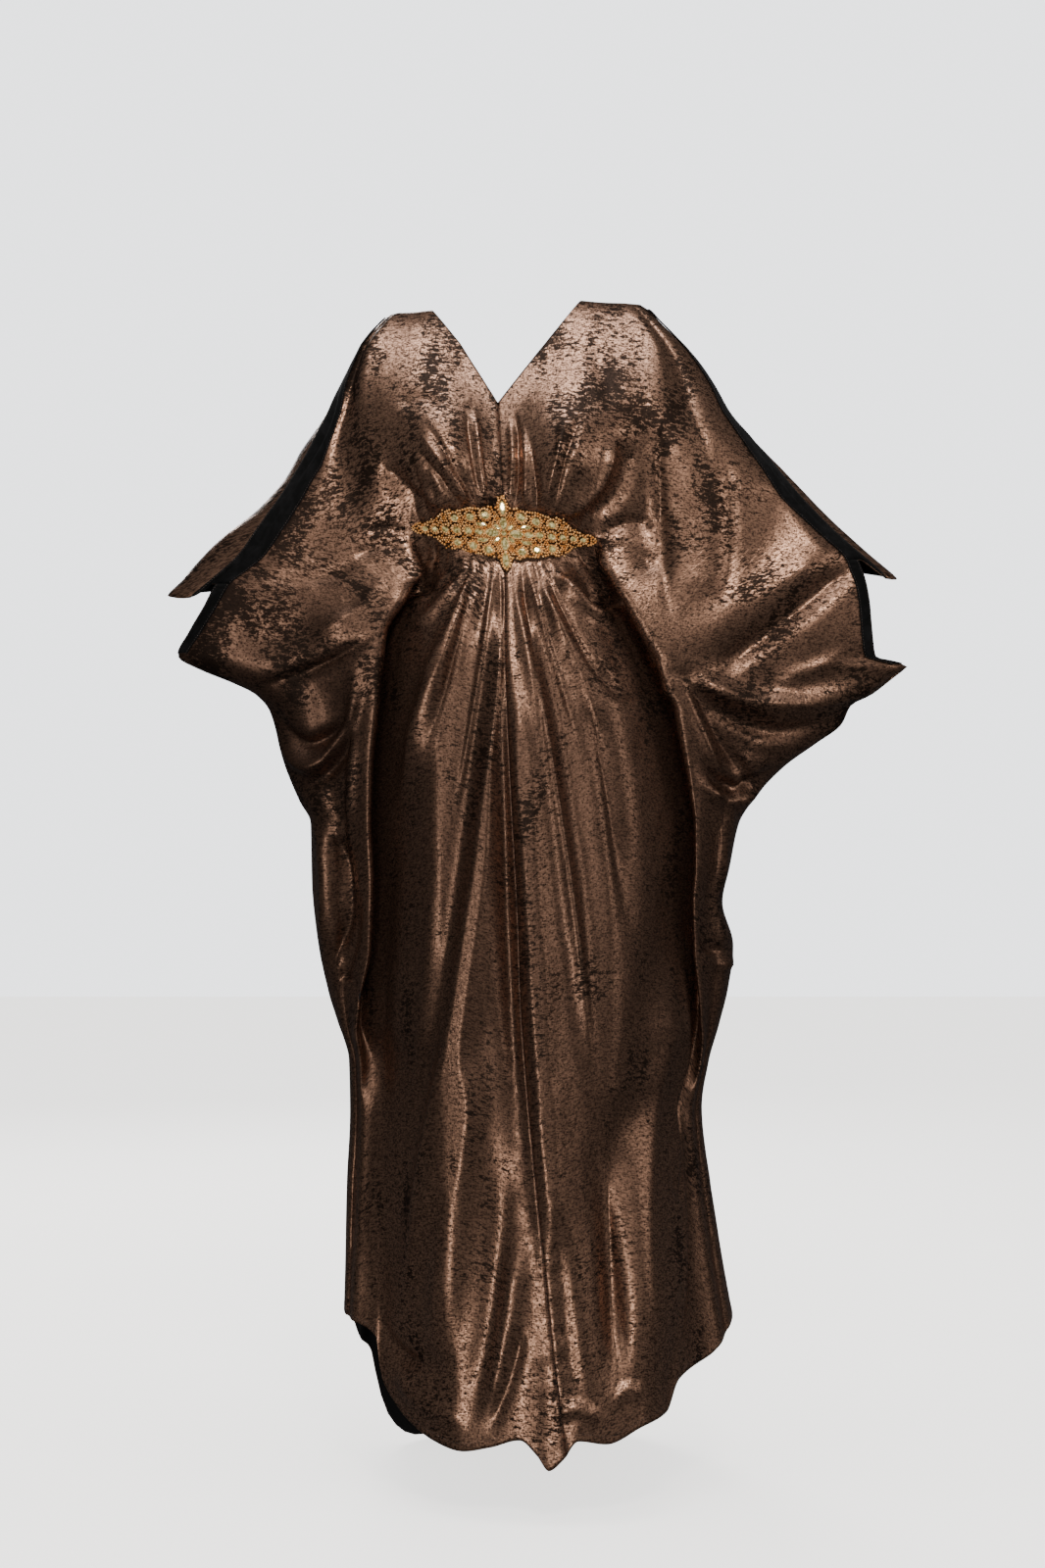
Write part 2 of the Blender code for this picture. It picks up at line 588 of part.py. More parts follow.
def half_panels():
    """Points and normals of the four half panels, with shared normals along their seams."""
    front_at, back_at = stations(FRONT_COLUMNS), stations(BACK_COLUMNS)
    made = {}
    for side in SIDES.values():
        made[side, "front"] = dressed(half_front(side, front_at), side, "front", front_at)
        made[side, "back"] = dressed(half_back(side, back_at), side, "back", back_at)
    drops, _ = row_drops()
    for side in SIDES.values():
        front, back = made[side, "front"], made[side, "back"]
        shut = (drops <= CUFF_TOP[side]) | (drops >= CUFF_FOOT[side])
        share_normals(front[1], back[1], (shut, -1))
        seam = (front[0][shut, -1] + back[0][shut, -1]) / 2
        front[0][shut, -1] = back[0][shut, -1] = seam
        shoulder = np.interp(front_at, back_at[:], np.arange(len(back_at)))
        for i, place in enumerate(shoulder):
            low = int(place)
            high = min(low + 1, len(back_at) - 1)
            mixed = back[1][0, low] + (back[1][0, high] - back[1][0, low]) * (place - low)
            front[1][0, i] = (front[1][0, i] + mixed) * (1, 0, 1)
        back[1][0] *= (1, 0, 1)
        for _, normal in (front, back):
            normal[0] /= np.linalg.norm(normal[0], axis=-1, keepdims=True)
    for panel in ("front", "back"):
        share_normals(made[RIGHT, panel][1], made[LEFT, panel][1], (drops >= V_DROP, 0))
        a, b = made[RIGHT, panel][0], made[LEFT, panel][0]
        joined = drops >= (V_DROP if panel == "front" else SCOOP_DROP)
        a[joined, 0] = b[joined, 0] = (a[joined, 0] + b[joined, 0]) / 2
    return made


def share_normals(first, second, where):
    """Gives two panels the same normal along a seam."""
    mean = first[where] + second[where]
    mean /= np.linalg.norm(mean, axis=-1, keepdims=True)
    first[where] = second[where] = mean


def pulled_in(points, rows, edge, gap):
    """Moves an edge column towards its neighbour, to leave half a seam's gap."""
    beside = 1 if edge == 0 else -2
    step = points[rows, beside] - points[rows, edge]
    points = points.copy()
    points[rows, edge] += step * (gap / 2 / np.linalg.norm(step, axis=-1, keepdims=True))
    return points


def lowered_top(points, gap):
    """Moves a shoulder edge towards the next row, to leave half a seam's gap."""
    step = points[1] - points[0]
    points = points.copy()
    points[0] += step * (gap / 2 / np.linalg.norm(step, axis=-1, keepdims=True))
    return points


def sheet_faces(shape, kept, first, flip):
    """Triangles of a grid's kept cells, each cell cut along its shorter diagonal."""
    columns = kept.shape[1] + 1
    one = np.linalg.norm(shape[1:, 1:] - shape[:-1, :-1], axis=-1)
    two = np.linalg.norm(shape[1:, :-1] - shape[:-1, 1:], axis=-1)
    faces = []
    for i, j in zip(*np.nonzero(kept)):
        a = int(first + i * columns + j)
        b, c, d = a + 1, a + columns + 1, a + columns
        pair = ((a, b, c), (a, c, d)) if one[i, j] < two[i, j] else ((a, b, d), (b, c, d))
        faces += [face[::-1] if flip else face for face in pair]
    return faces


def cloth_solid(name, points, normals, faces, thickness, material):
    """A closed wall of this thickness about a sheet of faces, as an object."""
    used = sorted({i for face in faces for i in face})
    place = {old: new for new, old in enumerate(used)}
    count = len(used)
    half = thickness / 2
    outer = points[used] + normals[used] * half
    inner = points[used] - normals[used] * half
    outside = [tuple(place[i] for i in face) for face in faces]
    edges = {(face[k], face[(k + 1) % len(face)]) for face in outside for k in range(len(face))}
    rim = [(b, a, a + count, b + count) for a, b in edges if (b, a) not in edges]
    inside = [tuple(i + count for i in reversed(face)) for face in outside]
    return add_object(name, np.vstack([outer, inner]), outside + inside + sorted(rim), material)


def add_object(name, points, faces, material):
    """A shaded mesh object from points in millimetres."""
    mesh = bpy.data.meshes.new(name)
    mesh.from_pydata((np.asarray(points) * MM).tolist(), [], faces)
    work = bmesh.new()
    work.from_mesh(mesh)
    bmesh.ops.recalc_face_normals(work, faces=work.faces)
    work.to_mesh(mesh)
    work.free()
    mesh.materials.append(material)
    mesh.shade_smooth()
    mesh.set_sharp_from_angle(angle=1.0)
    made = bpy.data.objects.new(name, mesh)
    bpy.context.scene.collection.objects.link(made)
    return made


def build_fronts(halves, material):
    """The two fronts, which meet in the centre seam."""
    drops, _ = row_drops()
    for word, side in SIDES.items():
        points, normals = halves[side, "front"]
        shut = (drops <= CUFF_TOP[side]) | (drops >= CUFF_FOOT[side])
        points = pulled_in(points, shut, -1, SEAM_GAP)
        points = pulled_in(points, drops >= V_DROP, 0, SEAM_GAP)
        points = lowered_top(points, SEAM_GAP)
        kept = np.ones((points.shape[0] - 1, points.shape[1] - 1), bool)
        faces = sheet_faces(halves[side, "front"][0], kept, 0, side == LEFT)
        flat = points.reshape(-1, 3), normals.reshape(-1, 3)
        cloth_solid(f"front_{word}", *flat, faces, CLOTH, material)


def build_back(halves, material):
    """The back in one piece, open at the neck's scoop and behind each cuff."""
    drops, _ = row_drops()
    points, normals, faces = [], [], []
    for side in SIDES.values():
        half, normal = halves[side, "back"]
        shut = (drops <= CUFF_TOP[side]) | (drops >= CUFF_FOOT[side])
        half = pulled_in(half, shut, -1, SEAM_GAP)
        half = lowered_top(half, SEAM_GAP)
        kept = np.ones((half.shape[0] - 1, half.shape[1] - 1), bool)
        open_rows = (drops[:-1] >= CUFF_TOP[side]) & (drops[1:] <= CUFF_FOOT[side])
        kept[open_rows, CUFF_COLUMN:] = False
        first = sum(len(p) for p in points)
        faces += sheet_faces(halves[side, "back"][0], kept, first, side == RIGHT)
        points.append(half.reshape(-1, 3))
        normals.append(normal.reshape(-1, 3))
    columns = half.shape[1]
    shift = len(points[0])
    joined = [i * columns for i in range(len(drops)) if drops[i] >= SCOOP_DROP]
    same = {shift + i: i for i in joined}
    faces = [tuple(same.get(i, i) for i in face) for face in faces]
    cloth_solid("back", np.vstack(points), np.vstack(normals), faces, CLOTH, material)


def build_bands(halves, material):
    """Bands over each overarm seam, onto the back, and along the front edge of each cuff."""
    drops, _ = row_drops()
    for word, side in SIDES.items():
        front, front_out = halves[side, "front"]
        back, back_out = halves[side, "back"]
        n = BAND_COLUMNS
        over = np.hstack([front[:, -n - 1 :], back[:, -2 : -n - 2 : -1]])
        over_out = np.hstack([front_out[:, -n - 1 :], back_out[:, -2 : -n - 2 : -1]])
        rows = (drops >= 10) & (drops <= CUFF_TOP[side])
        lay_band(f"overarm_band_{word}", over[rows], over_out[rows], side, material)
        rows = (drops >= CUFF_TOP[side]) & (drops < CUFF_FOOT[side])
        cuff, cuff_out = front[rows, -n - 1 :], front_out[rows, -n - 1 :]
        cuff = lowered_top(cuff, 4 * SEAM_GAP)
        lay_band(f"cuff_band_{word}", cuff, cuff_out, side, material)


def lay_band(name, points, normals, side, material):
    """A band as a closed wall on the outside of the cloth."""
    kept = np.ones((points.shape[0] - 1, points.shape[1] - 1), bool)
    faces = sheet_faces(points, kept, 0, side == LEFT)
    points = points + normals * (CLOTH / 2 + LIFT + BAND_CLOTH / 2)
    flat = points.reshape(-1, 3), normals.reshape(-1, 3)
    cloth_solid(name, *flat, faces, BAND_CLOTH, material)


def front_depth(halves, x, z):
    """The depth of the front's middle at these points of the front, seen square on."""
    drops, _ = row_drops()
    depth = np.zeros(x.shape)
    for side in SIDES.values():
        points = halves[side, "front"][0]
        rows = [np.interp(x * side, row[:, 0] * side, row[:, 1]) for row in points[:, :17]]
        place = np.interp(-z, drops, np.arange(len(drops)))
        low = np.floor(place).astype(int)
        rows = np.array(rows)
        share = place - low
        one = np.take_along_axis(rows, low[None], 0)[0]
        two = np.take_along_axis(rows, low[None] + 1, 0)[0]
        depth = np.where(x * side >= 0, one + (two - one) * share, depth)
    return depth


def build_applique(halves, material):
    """The applique's backing and mound, laid over the gathers."""
    reaches = [edge.reach for edge in APPLIQUE_EDGE]
    along = np.array([-r for r in reversed(reaches)] + reaches[1:], float)
    half = np.array([edge.height for edge in APPLIQUE_EDGE])
    half = np.concatenate([half[::-1], half[1:]])
    across = np.linspace(-1, 1, APPLIQUE_ROWS + 1)
    u, v = np.meshgrid(along, across)
    v = v * half
    x = u + APPLIQUE_TILT * v
    z = -APPLIQUE_DROP - v - APPLIQUE_TILT * u
    mound = APPLIQUE_MOUND * np.clip(1 - beside_applique(x, z), 0, 1) ** 0.5
    near = [front_depth(halves, x + i, z + k) for i in (-4, 0, 4) for k in (-4, 0, 4)]
    y = np.min(near, axis=0) - 0.7 * CLOTH - LIFT
    inner = np.stack([x, y, z], axis=-1)
    outer = inner - np.stack([0 * x, APPLIQUE_BACKING + mound, 0 * x], axis=-1)
    middle = ((inner + outer) / 2).reshape(-1, 3)
    normals = ((outer - inner) / APPLIQUE_BACKING).reshape(-1, 3)
    kept = np.ones((u.shape[0] - 1, u.shape[1] - 1), bool)
    faces = sheet_faces(inner, kept, 0, False)
    cloth_solid("waist_applique", middle, normals, faces, APPLIQUE_BACKING, material)


def cloth_material(name, colour, roughness, metallic):
    """A plain surface of this colour."""
    material = bpy.data.materials.new(name)
    material.use_nodes = True
    shader = material.node_tree.nodes["Principled BSDF"]
    shader.inputs["Base Color"].default_value = (*colour, 1)
    shader.inputs["Roughness"].default_value = roughness
    shader.inputs["Metallic"].default_value = metallic
    return material


def main():
    for old in list(bpy.data.objects):
        bpy.data.objects.remove(old)
    foil = cloth_material("bronze_foil_cloth", (0.145, 0.075, 0.045), 0.42, 0.55)
    velvet = cloth_material("black_velvet", (0.006, 0.005, 0.006), 0.9, 0.0)
    gold = cloth_material("gold_beads", (0.62, 0.32, 0.08), 0.28, 0.9)
    halves = half_panels()
    build_fronts(halves, foil)
    build_back(halves, foil)
    build_bands(halves, velvet)
    build_applique(halves, gold)


main()
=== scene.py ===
"""Dresses a wing-sleeved kaftan: foil-printed cloth, velvet bands, sewing and beadwork.

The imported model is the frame. The cloth panels are worked out again here from the garment's named
sizes, on a grid fine enough for small folds, and each replaces its solid. Sizes and tables are in
millimetres and meshes in metres. X runs to the wearer's left, Y to the back and Z up. A drop is
measured down from the middle of the shoulder line and a reach sideways from the plane X = 0.
"""

import logging
from abc import ABC, abstractmethod
from collections.abc import Callable
from dataclasses import dataclass, field, replace
from enum import Enum
from functools import partial

import bpy
import numpy as np
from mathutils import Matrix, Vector
from mathutils.bvhtree import BVHTree


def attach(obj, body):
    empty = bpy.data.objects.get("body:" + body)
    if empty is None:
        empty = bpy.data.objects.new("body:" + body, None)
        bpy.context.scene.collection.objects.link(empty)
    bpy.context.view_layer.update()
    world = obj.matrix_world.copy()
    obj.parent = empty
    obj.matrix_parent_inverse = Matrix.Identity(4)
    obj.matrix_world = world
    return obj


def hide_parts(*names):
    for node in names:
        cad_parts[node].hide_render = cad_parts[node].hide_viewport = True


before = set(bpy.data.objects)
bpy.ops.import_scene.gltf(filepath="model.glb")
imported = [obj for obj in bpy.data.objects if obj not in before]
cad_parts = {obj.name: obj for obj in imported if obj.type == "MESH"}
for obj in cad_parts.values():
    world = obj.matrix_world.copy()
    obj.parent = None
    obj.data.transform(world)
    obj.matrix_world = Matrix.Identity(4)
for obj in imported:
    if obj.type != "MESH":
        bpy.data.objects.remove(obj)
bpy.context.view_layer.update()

LOG = logging.getLogger("kaftan")
Array = np.ndarray
Material = bpy.types.Material
Piece = bpy.types.Object
MM = 0.001
UV_NAME = "cloth"
# Slack where rows and stations are compared.
NEAR = 1e-6


class Panel(Enum):
    """The face of the garment that a half panel belongs to."""

    FRONT = "front"
    BACK = "back"


class Hold(Enum):
    """How a sheet is held, in the frame's words."""

    DRAPED = "draped"
    GATHERED = "gathered"
    LAID = "laid"


# ---- Named rows of the tables ----


@dataclass(frozen=True)
class Table:
    """Rows of numbers under named columns, the first of which rises."""

    columns: tuple[str, ...]
    rows: tuple[tuple[float, ...], ...]

    def read(self, name: str, at: Array) -> Array:
        """Reads a column along the first, by a smooth curve.

        Args:
            name: The column's name.
            at: Places in the first column, of any shape.

        Returns:
            The values there, in the same shape.
        """
        rows = np.array(self.rows, float)
        at = np.asarray(at, float)
        return through(rows[:, 0], rows[:, self.columns.index(name)], at.ravel()).reshape(at.shape)


# One side's outline: the fold beside the skirt, the overarm seam's front edge and the reach.
OUTLINE = ("drop", "fold", "seam", "reach")


@dataclass(frozen=True)
class Fold:
    """A ridge (height above 0) or trough along a curve through three points, seen square on.

    The lean makes one flank steeper, and sharp goes from 0, a soft swell, to 1, a crease.
    """

    x0: float
    drop0: float
    x1: float
    drop1: float
    x2: float
    drop2: float
    width: float
    height: float
    lean: float = 0.0
    sharp: float = 0.35

    @classmethod
    def each(cls, *rows: tuple[float, ...]) -> tuple["Fold", ...]:
        """Folds from rows of their numbers."""
        return tuple(cls(*row) for row in rows)


@dataclass(frozen=True)
class Corner:
    """A cuff corner that hangs away: where it is and how far it moves out, forward and down."""

    panel: Panel
    drop: float
    spread: float
    start: float
    out: float
    forward: float
    down: float


@dataclass(frozen=True)
class Cut:
    """The size that a sheet was cut to, in metres: width, length and flat area."""

    width: float
    length: float
    area: float


@dataclass(frozen=True)
class HalfSizes:
    """The named sizes of one side of the garment.

    The band's top is how wide it is at the neck, as a share of its full width.
    """

    word: str
    sign: int
    neck_reach: float
    neck_drop: float
    cuff_top: float
    cuff_foot: float
    band: float
    band_top: float
    front_cut: Cut
    overarm_cut: Cut
    cuff_cut: Cut
    outline: Table
    corners: tuple[Corner, ...]


RIGHT = HalfSizes(
    word="right",
    sign=-1,
    neck_reach=91,
    neck_drop=12,
    cuff_top=358,
    cuff_foot=445,
    band=34,
    band_top=0.85,
    front_cut=Cut(0.52, 1.46, 0.5),
    overarm_cut=Cut(0.036, 0.44, 0.0125),
    cuff_cut=Cut(0.018, 0.11, 0.0018),
    outline=Table(
        OUTLINE,
        (
            (0, 115, 140, 140), (10, 122, 148, 148), (25, 131, 158, 158), (50, 143, 170, 172),
            (80, 152, 184, 187), (115, 157, 198, 203), (150, 156, 205, 221),
            (190, 150, 221, 250), (225, 140, 243, 269), (260, 127, 263, 299),
            (297, 112, 287, 343), (326, 103, 308, 371), (345, 102, 331, 386),
            (358, 112, 348, 398), (385, 133, 363, 402), (415, 151, 381, 402),
            (445, 155, 397, 397), (460, 157, 371, 371), (475, 159, 334, 334),
            (490, 160, 304, 304), (510, 162, 287, 287), (575, 169, 270, 270),
            (620, 171, 252, 252), (648, 172, 238, 238), (720, 169, 237, 237),
            (800, 170, 229, 229), (850, 176, 219, 219), (890, 178, 207, 207),
            (940, 168, 192, 192), (1000, 165, 191, 191), (1100, 168, 195, 195),
            (1390, 171, 198, 198),
        ),
    ),
    corners=(Corner(Panel.BACK, 358, 34, 0.66, 26, 12, 28),),
)

LEFT = HalfSizes(
    word="left",
    sign=1,
    neck_reach=95,
    neck_drop=0,
    cuff_top=328,
    cuff_foot=460,
    band=28,
    band_top=0.45,
    front_cut=Cut(0.6, 1.46, 0.6),
    overarm_cut=Cut(0.03, 0.46, 0.0105),
    cuff_cut=Cut(0.015, 0.13, 0.0018),
    outline=Table(
        OUTLINE,
        (
            (0, 125, 168, 168), (10, 135, 179, 180), (25, 147, 191, 192), (50, 159, 212, 214),
            (80, 166, 236, 240), (112, 168, 256, 260), (145, 166, 272, 280),
            (180, 160, 297, 309), (215, 150, 323, 343), (250, 138, 348, 376),
            (285, 124, 382, 408), (305, 113, 403, 431), (328, 114, 428, 458),
            (352, 133, 437, 470), (382, 153, 442, 476), (406, 167, 444, 482),
            (427, 178, 446, 490), (445, 187, 449, 480), (460, 194, 476, 476),
            (475, 199, 465, 465), (490, 203, 449, 449), (503, 213, 424, 424),
            (527, 218, 412, 412), (551, 223, 380, 380), (578, 229, 343, 343),
            (618, 236, 306, 306), (648, 240, 288, 288), (700, 241, 277, 277),
            (745, 238, 268, 268), (800, 238, 282, 282), (850, 239, 276, 276),
            (895, 238, 265, 265), (940, 232, 252, 252), (1000, 217, 243, 243),
            (1100, 226, 255, 255), (1390, 250, 281, 281),
        ),
    ),
    corners=(
        Corner(Panel.BACK, 328, 34, 0.66, 38, 8, 38),
        Corner(Panel.FRONT, 460, 12, 0.80, 14, 6, -3),
        Corner(Panel.BACK, 460, 34, 0.80, 14, 6, -3),
    ),
)
HALVES = (RIGHT, LEFT)

# Depths, front negative and back positive, from the centre front round the side to the back.
FRONT_DEPTHS = ("centre", "front", "valley", "crest", "wing")
BACK_DEPTHS = ("back_centre", "back_mid", "back_side", "back_wing")
DEPTHS = Table(
    ("drop", *FRONT_DEPTHS, "edge", *reversed(BACK_DEPTHS)),
    (
        (0, 0, 0, 0, 0, 0, 0, 0, 0, 0, 0),
        (3, -13, -14, -13, -13, -11, 0, 11, 13, 14, 14),
        (10, -24, -25, -24, -23, -20, -1, 20, 24, 26, 26),
        (25, -38, -40, -38, -36, -31, -2, 30, 38, 42, 42),
        (50, -54, -58, -55, -53, -44, -4, 38, 54, 60, 60),
        (80, -70, -78, -73, -70, -55, -8, 42, 68, 78, 75),
        (112, -86, -99, -90, -85, -65, -13, 42, 76, 92, 84),
        (139, -98, -117, -102, -95, -72, -17, 40, 80, 99, 92),
        (180, -117, -141, -114, -104, -81, -24, 35, 80, 104, 100),
        (215, -127, -150, -117, -107, -87, -31, 30, 78, 104, 103),
        (250, -127, -142, -112, -106, -92, -39, 22, 74, 100, 100),
        (285, -118, -122, -104, -103, -96, -46, 14, 70, 95, 96),
        (305, -115, -114, -98, -104, -98, -51, 10, 69, 93, 94),
        (328, -116, -113, -88, -108, -100, -56, 4, 68, 92, 94),
        (345, -119, -116, -82, -112, -102, -60, 0, 68, 93, 95),
        (358, -123, -120, -78, -116, -103, -62, -3, 69, 95, 97),
        (406, -137, -133, -72, -122, -104, -66, -10, 73, 103, 106),
        (445, -147, -142, -70, -124, -102, -66, -12, 77, 110, 113),
        (510, -157, -151, -68, -122, -97, -52, -2, 84, 119, 123),
        (575, -166, -158, -66, -118, -91, -40, 12, 92, 128, 132),
        (648, -176, -166, -64, -113, -84, -30, 25, 100, 136, 141),
        (750, -189, -177, -62, -106, -76, -20, 38, 108, 145, 150),
        (850, -202, -188, -62, -96, -66, -12, 50, 112, 155, 161),
        (940, -214, -198, -74, -84, -60, -6, 52, 90, 152, 170),
        (1000, -222, -205, -88, -80, -60, 0, 55, 80, 152, 178),
        (1100, -237, -218, -100, -86, -66, 0, 60, 86, 166, 192),
        (1390, -280, -256, -124, -106, -80, 5, 76, 106, 202, 232),
    ),
)

# The centre front seam: X at each drop.
CENTRE_SEAM = Table(
    ("drop", "x"),
    (
        (139, -8), (302, 0), (447, 2), (577, 7), (669, 12), (762, 17), (855, 20), (975, 29),
        (1107, 42), (1220, 53), (1390, 72),
    ),
)
# How far the wing's crest lies beyond the valley at each drop. Below 0 it hangs over the skirt.
TUCK = Table(
    ("drop", "beyond"),
    (
        (0, 14), (280, 14), (320, 4), (380, -10), (700, -11), (800, -9), (870, -2), (940, 4),
        (1040, 7), (1390, 9),
    ),
)
# The hems: the drop at each X.
FRONT_HEM = Table(
    ("x", "drop"),
    (
        (-198, 1244), (-175, 1249), (-154, 1262), (-148, 1298), (-140, 1320), (-118, 1345),
        (-85, 1364), (-50, 1371), (-15, 1364), (19, 1354), (38, 1370), (52, 1388), (68, 1376),
        (86, 1354), (120, 1359), (162, 1342), (190, 1334), (206, 1302), (247, 1286),
        (281, 1252),
    ),
)
BACK_HEM = Table(
    ("x", "drop"),
    (
        (-198, 1244), (-192, 1274), (-186, 1298), (-172, 1322), (-162, 1376), (-144, 1424),
        (-118, 1444), (-60, 1448), (40, 1450), (140, 1436), (215, 1372), (258, 1300),
        (281, 1252),
    ),
)

# Large folds, which the solids have too.
FRONT_FOLDS = Fold.each(
    # Skirt, from the applique down.
    (0, 350, -43, 805, -128, 1270, 20, 22, 0.3, 0.45),
    (-27, 345, -76, 455, -124, 630, 14, 17, 0.4, 0.6),
    (-16, 420, -66, 780, -140, 1160, 22, -10, 0, 0.2),
    (-6, 450, 2, 700, 20, 1060, 13, -13, 0, 0),
    (14, 420, 34, 800, 74, 1340, 22, 18, 0.5, 0.1),
    (8, 352, 60, 600, 106, 960, 10, 13, -0.5, 0.7),
    (30, 380, 76, 560, 118, 860, 18, -8, 0.2, 0.2),
    (38, 352, 78, 434, 120, 545, 11, 10, -0.3, 0.6),
    (60, 400, 114, 545, 152, 800, 16, -12, 0, 0.3),
    (66, 345, 92, 380, 134, 402, 10, 13, 0.3, 0.6),
    (108, 960, 124, 1130, 150, 1280, 19, -10, 0, 0),
    (-36, 900, -54, 1085, -84, 1300, 19, 14, 0.2, 0),
    (-2, 1020, -12, 1190, -44, 1345, 16, -7, 0, 0),
    (-150, 900, -166, 1100, -150, 1290, 18, -10, 0),
    (206, 790, 190, 1060, 186, 1310, 25, 18, 0, 0),
    (196, 900, 160, 1100, 168, 1300, 18, 12, -0.2, 0),
    (140, 960, 132, 1130, 134, 1330, 18, -12, 0),
    # Bodice, from the applique up to the bust.
    (-96, 268, -118, 240, -152, 214, 11, -7, 0.3),
    (62, 281, 112, 243, 134, 178, 9, 10, 0.5, 0.6),
    (92, 280, 138, 246, 150, 178, 12, -9, 0.2),
    # Wing on the wearer's right.
    (-140, 410, -220, 455, -322, 492, 8, -11, 0.6, 0.6),
    (-170, 398, -226, 430, -310, 462, 24, 5, 0, 0),
    (-292, 492, -238, 552, -176, 500, 9, -14, 0, 0.4),
    (-288, 516, -230, 576, -164, 470, 8, 12, 0, 0.5),
    (-280, 556, -226, 596, -168, 500, 9, -11, 0, 0.4),
    (-176, 440, -184, 560, -188, 700, 8, 7, 0, 0.4),
    (-214, 640, -190, 752, -232, 846, 8, -13, 0.3, 0.5),
    (-226, 650, -216, 726, -222, 812, 10, 11, 0, 0.3),
    (-228, 850, -192, 822, -172, 720, 9, -9, 0.3, 0.4),
    (-170, 80, -176, 190, -190, 290, 24, -6, 0, 0.1),
    (-330, 400, -270, 430, -210, 410, 30, -5, 0, 0),
    # Wing on the wearer's left.
    (440, 318, 345, 396, 240, 478, 15, -13, -0.3, 0.2),
    (410, 300, 312, 372, 222, 434, 30, 7, 0, 0),
    (190, 452, 352, 504, 508, 430, 11, 17, 0.5, 0.6),
    (212, 470, 322, 536, 440, 500, 13, -15, 0, 0.3),
    (206, 452, 262, 546, 316, 620, 10, -12, 0, 0.4),
    (200, 448, 238, 540, 268, 620, 8, 9, 0, 0.6),
    (230, 566, 284, 606, 336, 570, 9, -14, 0, 0.3),
    (226, 592, 280, 620, 332, 588, 7, 10, 0, 0.5),
    (222, 790, 256, 820, 300, 812, 7, 11, 0.4, 0.6),
    (224, 758, 250, 800, 296, 792, 8, -12, 0, 0.4),
    (222, 110, 232, 260, 240, 400, 44, 9, 0, 0),
    (174, 130, 172, 256, 176, 380, 26, -9, 0, 0.1),
    (330, 230, 330, 300, 300, 400, 40, -6, 0, 0),
)
BACK_FOLDS = Fold.each(
    (-60, 130, -78, 420, -60, 900, 22, 9, 0.3),
    (-104, 110, -140, 380, -120, 800, 22, -10, 0),
    (66, 130, 84, 430, 104, 940, 22, 9, -0.3),
    (110, 110, 158, 380, 168, 800, 22, -11, 0),
    (4, 150, 8, 420, 20, 800, 20, -8, 0),
    (-150, 60, -232, 260, -270, 470, 24, 9, 0.2),
    (150, 60, 270, 270, 330, 480, 26, 9, -0.2),
    (190, 160, 240, 420, 230, 700, 24, -10, 0),
    (-180, 180, -190, 420, -180, 700, 22, -9, 0),
    (-330, 400, -230, 470, -120, 430, 30, -8, 0),
    (420, 400, 290, 500, 150, 440, 32, -9, 0),
    (-110, 700, -120, 1000, -136, 1300, 26, 12, 0),
    (-46, 700, -52, 1000, -60, 1340, 24, -11, 0),
    (18, 760, 24, 1040, 30, 1350, 24, 12, 0),
    (84, 700, 92, 1000, 104, 1340, 26, -11, 0),
    (160, 700, 170, 1000, 182, 1300, 26, 12, 0),
)

